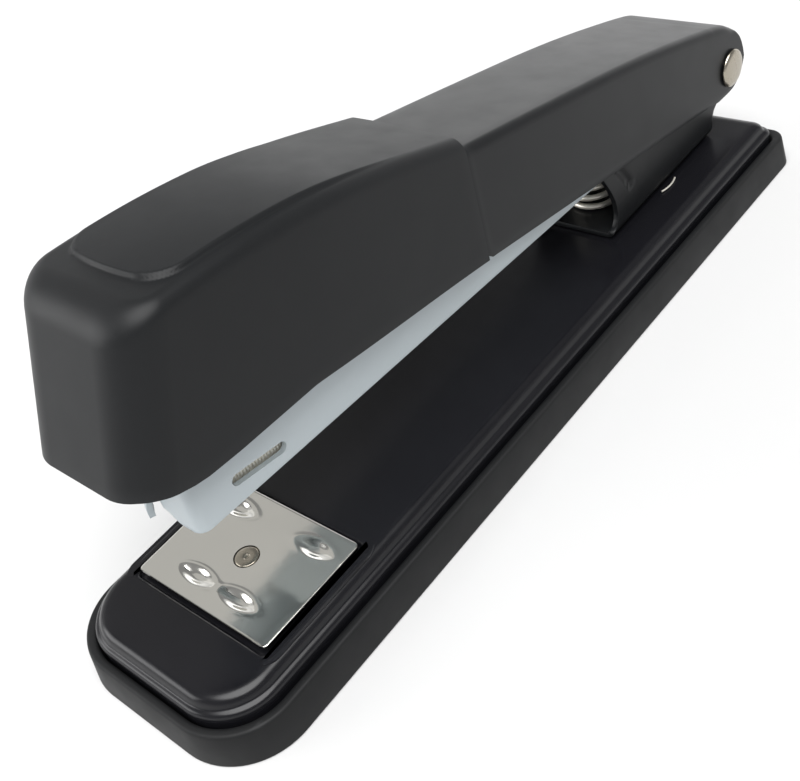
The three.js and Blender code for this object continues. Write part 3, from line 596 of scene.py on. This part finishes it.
def anvil_mount():
    """The anvil's post, the button under the base that it stands on, and the button's spring."""
    top = ANVIL_TOP + 0.05
    post = lathe("anvil_post", [
        (0, 1.7), (1.5, 1.7), (1.7, 1.9), (1.7, 8.2), (2.5, 8.2), (2.6, 8.3), (2.6, 8.65), (1.7, 8.65),
        (1.7, top - 0.14), (1.66, top - 0.05), (1.56, top), (0.62, top), (0.5, top - 0.02),
        (0.34, top - 0.16), (0.14, top - 0.22), (0, top - 0.23),
    ], (0, ANVIL_Y, 0), steps=64)
    finish_piece(post, "anvil", "anvil_post", NICKEL, 40)
    button = lathe("anvil_button", [
        (2.0, 0.95), (2.15, 0.8), (4.9, 0.8), (5.3, 0.9), (5.5, 1.2), (5.5, 2.6), (5.3, 2.8), (3.1, 2.8),
        (3.1, 3.45), (2.95, 3.6), (2.0, 3.6), (2.0, 0.95),
    ], (0, ANVIL_Y, 0), steps=64)
    finish_piece(button, "anvil_button", "anvil_button", STEEL, 40)
    path = coil_path(radius=4.2, turns=4.4, height=2.9, base=(0, ANVIL_Y, 3.4), steps=24)
    spring = tube("anvil_spring", path, 0.3)
    finish_piece(spring, "base", "anvil_spring", STEEL)


# ------------------------------------------------------------------ rear bracket
# The wall's front and rear edges, as (height, y).
BRACKET_FRONT = [
    (8.95, 29.0), (9.85, 29.0), (10.6, 29.9), (11.6, 30.55), (12.6, 30.8), (14.0, 30.75), (15.5, 30.45),
    (17.5, 29.7), (19.5, 28.7), (21.2, 27.75), (22.6, 27.6), (23.6, 28.2), (24.2, 29.0),
]
BRACKET_REAR = [(8.95, 61.7), (9.85, 61.7), (11.0, 61.75), (12.2, 62.0), (13.2, 62.6), (14.0, 63.8)]
BRACKET_EAR_RADIUS = 5.0
BRACKET_EAR_START = 14.05            # height
BRACKET_TOP = 24.0
GROOVE_TOP = (32.2, 20.5)            # y and z of the guide groove's upper end
GROOVE_ALONG = (0.528, -0.849)
PIP = (34.3, 16.2)                   # y and z


def bracket_span(z):
    """Front and rear edge of the bracket's wall at height z; the rear swells into the pivot ear."""
    rear = line_height(BRACKET_REAR, z)
    if z > BRACKET_EAR_START:
        reach = BRACKET_EAR_RADIUS ** 2 - (z - PIVOT[2]) ** 2
        rear = max(rear, PIVOT[1] + math.sqrt(max(0.3, reach)))
    return line_height(BRACKET_FRONT, z), rear


def bracket_relief(y, z):
    """How far the wall stands out at a place: a stamped groove slanting down, with a pip at its foot."""
    dy, dz = y - GROOVE_TOP[0], z - GROOVE_TOP[1]
    along = dy * GROOVE_ALONG[0] + dz * GROOVE_ALONG[1]
    across = dz * GROOVE_ALONG[0] - dy * GROOVE_ALONG[1]
    inside = smoothstep(-1.2, 0.4, along) * (1 - smoothstep(5.6, 6.6, along))
    pip = math.exp(-((y - PIP[0]) ** 2 + (z - PIP[1]) ** 2) / 0.12)
    return 0.2 * pip - 0.42 * inside * math.exp(-(across / 0.75) ** 2)


def rear_bracket():
    half, bottom, corner = 8.8, 8.95, 1.5
    section = [(half, z) for z in reversed(spread(bottom + corner, BRACKET_TOP, 41))]
    section += [(half - corner + corner * math.cos(a), bottom + corner - corner * math.sin(a))
                for a in spread(0.12, 1.57, 9)]
    section += [(x, bottom) for x in (5.0, 2.5)]
    section = [(-x, z) for x, z in section] + [(0.0, bottom)] + [(x, z) for x, z in reversed(section)]
    shares = spread(0.0, 0.3, 34) + spread(0.32, 1.0, 30)
    rows = []
    for x, z in section:
        front, rear = bracket_span(z)
        row = []
        for share in shares:
            y = front + (rear - front) * share
            px = x
            if abs(x) > half - 0.01:
                px += math.copysign(1.0, x) * bracket_relief(y, z)
            row.append((px, y, z))
        rows.append(row)
    bracket = grid("rear_bracket", rows)
    solidify(bracket, 0.88)
    bevel(bracket, 0.12, 2, 50)
    drill(bracket, PIVOT_HOLE, -20, 20, PIVOT, "X", 40)
    for y in BRACKET_RIVETS:
        drill(bracket, BRACKET_HOLE, 5, 12, (0, y, 0), steps=30)
    finish_piece(bracket, "base", "rear_bracket", SATIN)


def rivet_profile(shank, head, height, low, high):
    """Shank with a softly domed head at each end."""
    lower = [
        (0, low), (head * 0.6, low + 0.03), (head * 0.9, low + height * 0.35),
        (head, low + height * 0.75), (head, low + height), (shank, low + height),
    ]
    upper = [(radius, low + high - z) for radius, z in reversed(lower)]
    return lower + upper


def bracket_fixings():
    """The two rivets on the deck and the bright stakes beside the bracket's foot."""
    for number, y in enumerate(BRACKET_RIVETS, 1):
        rivet = lathe("bracket_rivet", rivet_profile(1.4, 2.6, 0.6, 6.95, 10.75), (0, y, 0))
        finish_piece(rivet, "base", f"bracket_rivet_{number}", SATIN, 40)
    for side, word in ((1, "right"), (-1, "left")):
        path = []
        for t in spread(0.0, 1.0, 15):
            bulge = 4 * t * (1 - t)
            path.append((side * (9.25 + 0.4 * bulge), 43.2 + 4.4 * t, DECK_Z + 0.26))
        stake = tube("bracket_stake", path, 0.15, 10)
        finish_piece(stake, "base", f"bracket_stake_{word}", STAPLES)


def pivot():
    head = [(0, 10.9), (1.2, 10.87), (2.2, 10.76), (2.85, 10.55), (3.12, 10.34), (3.2, 10.16), (3.2, 10.1),
            (2.0, 10.1)]
    profile = [(radius, -x) for radius, x in head] + [(radius, x) for radius, x in reversed(head)]
    rivet = lathe("pivot_rivet", profile, PIVOT, "X", 64)
    finish_piece(rivet, "base", "pivot_rivet", NICKEL, 40)
    sleeve = lathe("pivot_sleeve", [
        (2.25, -6.1), (2.35, -6.2), (3.0, -6.2), (3.1, -6.1), (3.1, 6.1), (3.0, 6.2), (2.35, 6.2),
        (2.25, 6.1), (2.25, -6.1),
    ], PIVOT, "X", 48)
    finish_piece(sleeve, "base", "pivot_sleeve", STEEL, 40)


def lift_spring():
    path = coil_path(radius=4.2, turns=5.6, height=7.1, base=(0, 37.5, 10.46), steps=28)
    spring = tube("lift_spring", path, 0.5, 12)
    finish_piece(spring, "base", "lift_spring", STAPLES)


# ------------------------------------------------------------------ magazine
MAGAZINE_TOP = [(-124, 9.2), (-48, 9.2), (-30, 6.0), (-6, 6.0)]


def magazine_heights(y, x, side):
    """Lower and upper edge of the channel wall at y, in the magazine's level frame."""
    top = line_height(MAGAZINE_TOP, y)
    bottom = -2.2
    if y > -8:
        bottom = -2.2 - 2.4 * smoothstep(-8, -2.5, y)
    if y > -3.0:
        reach = math.sqrt(max(0.02, 4.8 ** 2 - max(0.0, y) ** 2)) if y > 0 else 4.8
        bottom = max(bottom, -reach) if y > -1 else bottom
        top = min(top, reach) if y > -1 else min(top, 6.0)
    # The foot of the right front flange is scooped up toward the gap.
    if y < -122.0 and side > 0:
        bottom += 1.5 * (1 - smoothstep(0.6, 4.0, x)) ** 1.3
    return bottom, top


def magazine_walls():
    """The channel's left and right walls, each with its half of the front face bent in at the corner."""
    half, front, radius = 7.35, -123.8, 1.6
    path = [(x, front) for x in spread(0.5, half - radius, 14)]
    path += [
        (half - radius + radius * math.sin(a), front + radius - radius * math.cos(a))
        for a in spread(0.15, QUARTER, 9)
    ]
    path += [(half, y) for y in spread(front + radius + 0.8, -8.5, 90)]
    path += [(half, y) for y in spread(-8.0, 4.78, 26)]
    halves = []
    for side in (-1, 1):
        rows = []
        for x, y in path:
            low, high = magazine_heights(y, x, side)
            row = []
            for t in spread(0.0, 1.0, 22):
                z = low + (high - low) * t
                px = x
                if y < front + 0.01:
                    gap = 0.45 + 0.45 * (1 - smoothstep(-2.2, 2.6, z))
                    px = gap + (x - 0.5) * (half - radius - gap) / (half - radius - 0.5)
                py = y
                if side < 0 and y < front + 0.01:
                    # The left flange's inner corner is flared forward a little.
                    py -= 1.4 * (1 - smoothstep(0.6, 3.6, px)) * (1 - smoothstep(-1.0, 3.5, z))
                row.append((side * px, py, z))
            rows.append(row)
        halves.append(grid("magazine_side", rows, MAGAZINE))
    for piece in halves:
        solidify(piece, 0.8)
    return halves


def side_slot():
    """Cutter for the round-ended slot through both walls."""
    low, high, radius, steps = (-116.8, 1.16), (-109.6, 0.29), 0.85, 12
    lean = math.atan2(high[1] - low[1], high[0] - low[0])
    outline = []
    for (y, z), start in ((high, lean - math.pi / 2), (low, lean + math.pi / 2)):
        for i in range(steps + 1):
            angle = start + math.pi * i / steps
            outline.append((y + radius * math.cos(angle), z + radius * math.sin(angle)))
    return rings("slot", [[(x, y, z) for y, z in outline] for x in (-9, 9)], MAGAZINE)


def magazine_channel():
    left, right = magazine_walls()
    floor = block("floor", (-7.0, -112, -2.12), (7.0, -36, -1.5), MAGAZINE)
    for piece in (left, right):
        bevel(piece, 0.1, 2, 50)
    combine(left, right, "UNION")
    combine(left, floor, "UNION")
    combine(left, side_slot())
    drill(left, PIVOT_HOLE, -20, 20, (0, 0, 0), "X", 40, MAGAZINE)
    drill(left, CORE_PIN_HOLE, -20, 20, CORE_PIN, "X", 32, MAGAZINE)
    finish_piece(left, "magazine", "magazine_channel", PAINT)


def saddle(name, half, sheet, low, high, front, rear, corner=0.5, turn=MAGAZINE, low_at=None, steps=40):
    """Inverted U of sheet over the magazine's middle; low_at(y) may lift its lower edges along the way."""
    rows = []
    for y in spread(front, rear, steps):
        foot = low_at(y) if low_at else low
        section = [(half, z) for z in spread(foot, high - corner, 6)]
        section += [
            (half - corner + corner * math.cos(a), high - corner + corner * math.sin(a))
            for a in spread(0.26, QUARTER, 5)
        ]
        section.append((half * 0.5, high))
        section = section + [(0.0, high)] + [(-x, z) for x, z in reversed(section)]
        rows.append([(x, y, z) for x, z in section])
    piece = grid(name, rows, turn)
    solidify(piece, sheet, -1.0)
    return piece


def magazine_core():
    core = saddle("magazine_core", 5.55, 0.7, -2.6, 4.2, -122.2, -38.0, 0.6,
                  low_at=lambda y: -2.6 if y < -112.6 else -1.2, steps=71)
    bevel(core, 0.08, 1, 50)
    drill(core, CORE_PIN_HOLE, -20, 20, CORE_PIN, "X", 32, MAGAZINE)
    finish_piece(core, "magazine", "magazine_core", PAINT)
    profile = [(0, -7.2), (0.85, -7.2), (1.0, -7.05), (1.0, 7.05), (0.85, 7.2), (0, 7.2)]
    pin = lathe("core_pin", profile, CORE_PIN, "X", 32, MAGAZINE)
    finish_piece(pin, "magazine", "core_pin", STEEL, 40)


STAPLE_COUNT, STAPLE_PITCH, STAPLE_WIRE = 100, 0.5, 0.245
STAPLE_FRONT = -122.1
STAPLE_SIDES = 8


def staple_path():
    """Centre line of one staple in the XZ plane, from leg to leg over the crown."""
    half, top, foot = 6.35 - 0.25, 5.0 - 0.25, -1.0
    path = [(half, foot), (half, top - 0.75), (half - 0.07, top - 0.4), (half - 0.25, top - 0.15),
            (half - 0.55, top - 0.02), (half - 0.8, top)]
    return path + [(-x, z) for x, z in reversed(path)]


def staple_points(path, y, lift):
    """Rings of slightly flattened wire along the path, at y and raised by lift."""
    flat, deep = 0.94 * STAPLE_WIRE, 1.06 * STAPLE_WIRE
    points = []
    for i, (x, z) in enumerate(path):
        ahead = path[min(i + 1, len(path) - 1)]
        behind = path[max(i - 1, 0)]
        along = (ahead[0] - behind[0], ahead[1] - behind[1])
        length = math.hypot(*along)
        nx, nz = -along[1] / length, along[0] / length
        for side in range(STAPLE_SIDES):
            a = 2 * math.pi * (side + 0.5) / STAPLE_SIDES
            out = flat * math.cos(a)
            points.append((x + nx * out, y + deep * math.sin(a), z + nz * out + lift))
    return points


def staple_strip():
    """One staple after another, glued side by side; their wires touch, so doubles aren't merged."""
    path = staple_path()
    one = grid_faces(len(path), STAPLE_SIDES, closed=True)
    one.append(tuple(range(STAPLE_SIDES)))
    one.append(tuple(range((len(path) - 1) * STAPLE_SIDES, len(path) * STAPLE_SIDES)))
    verts, faces = [], []
    for k in range(STAPLE_COUNT):
        lift = 0.02 * (RNG.random() - 0.5)
        faces += [tuple(len(verts) + i for i in f) for f in one]
        verts += staple_points(path, STAPLE_FRONT + 0.25 + STAPLE_PITCH * k, lift)
    strip = new_mesh("staple_strip", verts, faces, MAGAZINE, merge=False)
    finish_piece(strip, "magazine", "staple_strip", STAPLES, 50)


def pusher():
    front = -71.7
    body = saddle("pusher", 6.3, 0.45, -0.6, 5.3, front, front + 9.7, 0.5, steps=14)
    bevel(body, 0.06, 1, 50)
    tab_rows = []
    for x in spread(-3, 3, 9):
        rounding = 0.5 * max(0.0, abs(x) - 2.4)
        line = [(5, 5.3), (7.9, 5.36), (8.5, 5.5), (8.85, 5.9), (9.15, 6.6), (9.3, 7.35 - rounding)]
        tab_rows.append([(x, front + y, z) for y, z in line])
    tab = grid("tab", tab_rows, MAGAZINE)
    solidify(tab, 0.45, 0.0)
    combine(body, tab, "UNION")
    finish_piece(body, "pusher", "pusher", STEEL)


def pusher_drive():
    """Rod, spring and anchor that stand behind the pusher, inside the core."""
    rod = tube("pusher_rod", [(0, y, 1.0) for y in spread(-79.9, -41.9, 12)], 0.8, 20, MAGAZINE)
    bevel(rod, 0.12, 2, 50)
    finish_piece(rod, "magazine", "pusher_rod", STEEL, 40)
    path = coil_path(radius=1.6, turns=13.0, height=24.9, base=(0, -68.7, 1.0), axis="Y", steps=20)
    spring = tube("pusher_spring", path, 0.3, 8, MAGAZINE)
    finish_piece(spring, "magazine", "pusher_spring", STEEL)
    anchor = block("rod_anchor", (-4.5, -42.4, -0.9), (4.5, -38.2, 3.2), MAGAZINE)
    bevel(anchor, 0.3, 3)
    drill(anchor, CORE_PIN_HOLE, -20, 20, CORE_PIN, "X", 32, MAGAZINE)
    seat = tube("seat", [(0, -44.0, 1.0), (0, -41.3, 1.0)], 1.1, 24, MAGAZINE)
    combine(anchor, seat)
    finish_piece(anchor, "magazine", "rod_anchor", STEEL)


# ------------------------------------------------------------------ arm
# Upper and lower edges in side view, as (y, height).
ARM_TOP = [(-49.5, 55.3), (-2.0, 45.0), (15, 41.1), (35, 36.4), (46, 33.5), (58, 29.9), (68.0, 26.66)]
ARM_FOOT = [
    (-49.5, 35.0), (-36.2, 34.6), (-2.1, 28.3), (-2.0, 27.5), (60.1, 15.5), (62.5, 14.9), (66.2, 14.72),
]
PLATE_END = 66.7                     # where the top plate stops and only the two ears go on
EAR_END = 71.97
EAR_TOP = [
    (62.0, 28.58), (64.0, 27.92), (65.4, 27.42), (66.5, 26.95), (67.4, 26.42), (68.6, 25.55), (69.7, 24.5),
    (70.6, 23.25), (71.3, 21.85), (71.75, 20.4), (EAR_END, 19.1),
]
EAR_FOOT = [
    (66.2, 14.72), (67.8, 14.82), (69.4, 15.4), (70.6, 16.4), (71.4, 17.5), (71.8, 18.3), (EAR_END, 18.8),
]


ARM_WALL_POINTS, ARM_EDGE_POINTS = 16, 9


def arm_top(y):
    """Smooth top line: the corners between ARM_TOP's points averaged out, then the ear's outline."""
    if y > EAR_TOP[0][0]:
        return line_height(EAR_TOP, y)
    near = (-5, -3, -1, 1, 3, 5)
    return sum(line_height(ARM_TOP, y + d) for d in near) / len(near)


def arm_section(y, half, radius, sunk=0.0):
    """Outer section of the arm at y, from the foot of the left wall over the top to the right one."""
    low = line_height(EAR_FOOT if y > EAR_FOOT[0][0] else ARM_FOOT, y)
    high = arm_top(y) - sunk
    edge = radius - 1.2 * smoothstep(68.0, 70.8, y)
    wall_top = max(high - edge, low + 0.01)
    wall = [(half, z) for z in spread(low, wall_top, ARM_WALL_POINTS)]
    arc = [
        (half - edge + edge * math.cos(a), wall_top + edge * math.sin(a))
        for a in spread(0.16, QUARTER, ARM_EDGE_POINTS)
    ]
    across = [(half * f, wall_top + edge) for f in (0.72, 0.5, 0.25)]
    right = wall + arc + across
    section = [(-x, z) for x, z in right] + [(0.0, wall_top + edge)] + [(x, z) for x, z in reversed(right)]
    return [(x, y, z) for x, z in section]


def arm_channel():
    half, radius = 9.8, 1.5
    stations = spread(CAP_REAR + 0.3, 61.0, 60) + spread(61.5, PLATE_END, 12)
    ear = [PLATE_END + (EAR_END - PLATE_END) * math.sin(a) for a in spread(0.08, QUARTER, 18)]
    rear = [arm_section(y, half, radius) for y in stations + ear]
    rim = ARM_WALL_POINTS + ARM_EDGE_POINTS
    columns = len(rear[0])

    def between_ears(i, j):
        return i >= len(stations) - 1 and rim - 1 <= j < columns - rim

    arm = grid("arm_channel", rear, skip=between_ears)
    solidify(arm, 0.7)
    bevel(arm, 0.12, 2, 50)
    # Under the cap the arm goes on narrower and lower.
    front_ys = spread(ARM_FRONT, CAP_REAR + 1.2, 50)
    front = grid("arm_front", [arm_section(y, 9.3, radius, 0.33) for y in front_ys])
    solidify(front, 0.7)
    combine(arm, front, "UNION")
    drill(arm, PIVOT_HOLE, -20, 20, PIVOT, "X", 40)
    for y in (LEAF_RIVET_Y, DRIVER_RIVET_Y):
        drill(arm, ARM_HOLE, 20, 80, (0, y, 0))
    finish_piece(arm, "arm", "arm_channel", SATIN)


def arm_rivet(name, y, reach):
    """Rivet through the arm's top that reaches down by `reach` from the arm's upper line."""
    top = line_height(ARM_TOP, y)
    rivet = lathe(name, rivet_profile(1.25, 2.4, 0.6, top - reach, top + 1.25), (0, y, 0))
    finish_piece(rivet, "arm", name, STEEL, 40)


def leaf_spring():
    def under(y):
        return line_height(ARM_TOP, y) - 1.0

    line = [(y, under(y)) for y in (-25, -19, -14)]
    line += [(-6, 44.0), (4, 40.45), (9, 38.5), (14, 36.45), (17.5, 35.2), (20, 34.75), (22, 34.85)]
    line.append((24, 35.2))
    rows = [[(x, y, z) for y, z in line] for x in spread(-4, 4, 5)]
    leaf = grid("return_leaf_spring", rows)
    solidify(leaf, 0.45)
    bevel(leaf, 0.08, 1, 60)
    drill(leaf, ARM_HOLE, 20, 80, (0, LEAF_RIVET_Y, 0))
    finish_piece(leaf, "arm", "return_leaf_spring", STEEL)
    arm_rivet("leaf_rivet", LEAF_RIVET_Y, 2.9)


def driver():
    """The blade stands in the drive slot, bends over and runs back under the arm to its rivet."""
    arm_rivet("driver_rivet", DRIVER_RIVET_Y, 3.3)
    face, bend = -122.6, 17.9
    line = [(face, z) for z in spread(-2.15, bend, 12)]
    line += [(face + 0.8 * (1 - math.cos(a)), bend + 0.75 * math.sin(a)) for a in spread(0.25, QUARTER, 6)]
    line += [(y, 18.65) for y in spread(-120.5, -113.65, 6)]
    rows = [[(x, y, z) for y, z in line] for x in spread(-6.15, 6.15, 9)]
    blade = grid("driver_blade", rows, DRIVER)
    solidify(blade, 0.36, 0.0)
    bevel(blade, 0.06, 1, 60)
    drill(blade, ARM_HOLE, 10, 30, (0, -116.9, 0), turn=DRIVER)
    finish_piece(blade, "arm", "driver_blade", STEEL)


# ------------------------------------------------------------------ nose cap
# Upper and lower edges in side view, as (y, height); the upper one is smoothed by a polynomial.
CAP_TOP = [
    (-66, 58.27), (-58, 58.11), (-50, 57.76), (-45.6, 57.5), (-37, 56.45), (-31, 55.4), (-25, 54.1),
    (-19, 52.5), (-12, 50.25), (-5, 47.95), (-2.4, 47.0), (3, 45.1),
]
CAP_FOOT = [
    (-63.4, 38.25), (-62.0, 38.1), (-60.2, 37.6), (-58.0, 36.8), (-56.0, 36.1), (-54.0, 35.65),
    (-49.1, 35.15), (-36.6, 34.35), (-35.4, 34.15), (-2.4, 27.9),
]
CAP_HALF = 11.0
CAP_CORNER = 5.8
CAP_WALL = 1.3
CAP_SIDE_EDGE, CAP_FRONT_EDGE = 2.0, 3.6
CAP_TOP_WIDTH = 8.55                 # flat part of the top, from its rounded edge to the spine
CAP_TOP_FIT = np.polyfit([p[0] for p in CAP_TOP], [p[1] for p in CAP_TOP], 4)
PANEL_HALF, PANEL_FRONT, PANEL_REAR = 8.75, -49.5, -9.0


def cap_top(y):
    return float(np.polyval(CAP_TOP_FIT, y))


def cap_front(z):
    """How far forward the leaning front face stands at height z."""
    return -64.2 + 0.413 * (z - 36.1)


def cap_half(y, z):
    """Half width: fullest ahead of the middle, drawn in a little to the rear and toward the top."""
    rear = smoothstep(-34.0, CAP_REAR, y)
    return CAP_HALF - 0.6 * rear - 0.1 * smoothstep(36.0, 58.0, z)


def panel_rise(x, y):
    """The raised panel on top, with a rounded front and a soft step, sinking away to the rear."""
    corner = 3.4
    bow = 1.3 * (x / PANEL_HALF) ** 2
    dx = abs(x) - (PANEL_HALF - corner)
    dy = (PANEL_FRONT + bow + corner) - y
    outside = math.hypot(max(dx, 0.0), max(dy, 0.0)) + min(max(dx, dy), 0.0) - corner
    height = 0.62 * (1 - smoothstep(-30.0, PANEL_REAR, y))
    return height * (1 - smoothstep(-0.42, 0.05, outside))


def cap_edge(kind, value):
    """Radius of the rounded top edge: small along the sides, growing round the corner to the front's."""
    turn = {"side": 0.0, "front": 1.0}.get(kind)
    if turn is None:
        turn = smoothstep(0.0, 1.0, value[1] / (math.pi / 2))
    return CAP_SIDE_EDGE + (CAP_FRONT_EDGE - CAP_SIDE_EDGE) * turn


def cap_place(kind, value, inset, y, z):
    """Where a mark of the plan outline stands, for a wall that is inset, near y and at height z."""
    half = cap_half(y, z) - inset
    radius = max(CAP_CORNER - inset, min(1.0, 0.6 * half))
    front = cap_front(z) + inset
    if kind == "side":
        side, share = value
        return side * half, CAP_REAR + (front + radius - CAP_REAR) * share
    if kind == "corner":
        side, angle = value
        return side * (half - radius + radius * math.cos(angle)), front + radius - radius * math.sin(angle)
    return value * (half - radius), front


def cap_point(kind, value, inset=0.0, wall_share=None, fillet=None):
    """A point of the cap's outside.

    kind and value pick a mark on the plan outline: a side at a share of its length, a corner at an angle,
    or the front at a share of its width. wall_share climbs the wall, fillet is the angle round the top
    edge, and with neither the point lies on the top, walked in by inset. The height and the place in plan
    depend on each other, so a few rounds settle them.
    """
    edge = cap_edge(kind, value)
    y, z = -50.0, 50.0               # first guess
    for _ in range(7):
        x, y = cap_place(kind, value, inset, y, z)
        top = cap_top(max(y, -63.0)) - 0.30 * (x / CAP_HALF) ** 2
        foot = line_height(CAP_FOOT, y)
        if wall_share is not None:
            z = foot + (top - edge - foot) * wall_share
        elif fillet is not None:
            z = top - edge * (1 - math.sin(fillet))
        else:
            z = top
    if wall_share is None:
        z += panel_rise(x, y)
    return x, y, z


def cap_outline():
    """Marks round the plan outline, from the left rear over the front to the right rear."""
    sides = [1 - (1 - t) ** 1.6 for t in spread(0.0, 1.0, 60)]
    marks = [("side", (-1, t)) for t in sides]
    marks += [("corner", (-1, a)) for a in spread(0.06, QUARTER, 22)]
    marks += [("front", x) for x in spread(-0.96, 0.96, 24)]
    marks += [("corner", (1, a)) for a in reversed(spread(0.06, QUARTER, 22))]
    marks += [("side", (1, t)) for t in reversed(sides)]
    return marks


def nose_cap():
    marks = cap_outline()
    rows = [[cap_point(*mark, wall_share=share) for mark in marks] for share in spread(0.0, 1.0, 12)]
    for angle in spread(0.16, QUARTER, 10):
        share = 1 - math.cos(angle)
        rows.append([cap_point(*mark, cap_edge(*mark) * share, fillet=angle) for mark in marks])
    for extra in spread(0.16, 3.6, 22) + spread(3.76, 6.6, 18) + spread(7.0, CAP_TOP_WIDTH, 4):
        row = []
        for mark in marks:
            edge = cap_edge(*mark)
            span = CAP_TOP_WIDTH + CAP_SIDE_EDGE - edge
            row.append(cap_point(*mark, min(edge + span * extra / CAP_TOP_WIDTH, 10.1)))
        rows.append(row)
    # Close the spine: fold the last loop's two halves together along X = 0.
    rows.append([(0.0, y, cap_top(y) + panel_rise(0.0, y)) for _, y, _ in rows[-1]])
    cap = grid("nose_cap", rows)
    solidify(cap, CAP_WALL)
    finish_piece(cap, "arm", "nose_cap", PLASTIC, 60)


# ------------------------------------------------------------------ build
rubber_boot()
base_pan()
anvil_plate()
anvil_mount()
rear_bracket()
bracket_fixings()
pivot()
lift_spring()
magazine_channel()
magazine_core()
staple_strip()
pusher()
pusher_drive()
arm_channel()
leaf_spring()
driver()
nose_cap()


# ------------------------------------------------------------------ studio
# The floor's rim in section, in metres: (distance from the middle, height).
COVE = [(3.0, 0.0), (3.5, 0.05), (4.0, 0.19), (4.4, 0.45), (4.75, 0.9), (4.95, 1.6), (5.0, 2.6)]
FLOOR_COLOR = (0.55, 0.55, 0.55, 1)


def floor():
    """A pale studio floor whose far rim sweeps up into a low cove."""
    steps = 64
    turns = [2 * math.pi * i / steps for i in range(steps)]
    verts = [(radius * math.cos(a), radius * math.sin(a), height) for radius, height in COVE for a in turns]
    mesh = bpy.data.meshes.new("floor")
    rim = [face[::-1] for face in grid_faces(len(COVE), steps, closed=True)]
    mesh.from_pydata(verts, [], [tuple(range(steps))] + rim)
    mesh.polygons.foreach_set("use_smooth", [False] + [True] * len(rim))
    obj = bpy.data.objects.new("floor", mesh)
    bpy.context.scene.collection.objects.link(obj)
    material = bpy.data.materials.new("floor")
    material.use_nodes = True
    shader = material.node_tree.nodes["Principled BSDF"]
    shader.inputs["Base Color"].default_value = FLOOR_COLOR
    shader.inputs["Roughness"].default_value = 0.9
    shader.inputs["Specular IOR Level"].default_value = 0.0
    mesh.materials.append(material)


LIGHT_TARGET = (0, 0, 0.03)
SUN_ENERGY, SUN_ANGLE = 4.9, math.radians(55)
SUN_TILT = (math.atan2(0.20, 1.0), math.atan2(0.25, 1.0), 0)
WORLD_STRENGTH = 0.25
AREA_LIGHTS = [  # name, position, size, watts, colour
    ("left_high", (-0.95, 0.10, 0.78), (0.8, 0.8), 0.55, (1.0, 0.98, 0.93)),
    ("front_left", (-0.70, -0.75, 0.40), (0.8, 0.5), 5.5, (1, 1, 1)),
    ("behind", (-0.45, 1.30, 0.28), (1.6, 0.5), 2.0, (1, 1, 1)),
]


def world():
    made = bpy.data.worlds.new("studio")
    bpy.context.scene.world = made
    made.use_nodes = True
    background = made.node_tree.nodes["Background"]
    background.inputs["Color"].default_value = (1.0, 1.0, 1.0, 1)
    background.inputs["Strength"].default_value = WORLD_STRENGTH


def sun_light():
    """One broad overhead light, coming a little from the right and the front."""
    data = bpy.data.lights.new("overhead", "SUN")
    data.energy = SUN_ENERGY
    data.angle = SUN_ANGLE
    obj = bpy.data.objects.new("overhead", data)
    obj.rotation_euler = SUN_TILT
    bpy.context.scene.collection.objects.link(obj)


def area_light(name, position, size, power, color):
    data = bpy.data.lights.new(name, "AREA")
    data.shape = "RECTANGLE"
    data.size, data.size_y = size
    data.energy = power
    data.color = color
    obj = bpy.data.objects.new(name, data)
    obj.location = position
    direction = Vector(LIGHT_TARGET) - Vector(position)
    obj.rotation_euler = direction.to_track_quat("-Z", "Y").to_euler()
    bpy.context.scene.collection.objects.link(obj)


CAMERA_PLACE = (0.09490, -0.09289, 0.11766)
CAMERA_RIGHT = Vector((0.7478, 0.6211, -0.2347))
CAMERA_DOWN = Vector((0.2948, -0.6273, -0.7208))
CAMERA_AHEAD = Vector((-0.5949, 0.4698, -0.6522))
CAMERA_LENS = 49.96                  # mm on a sensor 36 mm wide
CAMERA_SHIFT = (0.01644, -0.0072)


def camera():
    data = bpy.data.cameras.new("camera")
    obj = bpy.data.objects.new("camera", data)
    bpy.context.scene.collection.objects.link(obj)
    rotation = Matrix((CAMERA_RIGHT, -CAMERA_DOWN, -CAMERA_AHEAD)).transposed()
    obj.matrix_world = Matrix.Translation(CAMERA_PLACE) @ rotation.to_4x4()
    data.sensor_width = 36.0
    data.lens = CAMERA_LENS
    data.shift_x, data.shift_y = CAMERA_SHIFT
    data.clip_start = 0.005
    bpy.context.scene.camera = obj


floor()
world()
sun_light()
for light in AREA_LIGHTS:
    area_light(*light)
camera()
bpy.context.scene.view_settings.view_transform = "Standard"
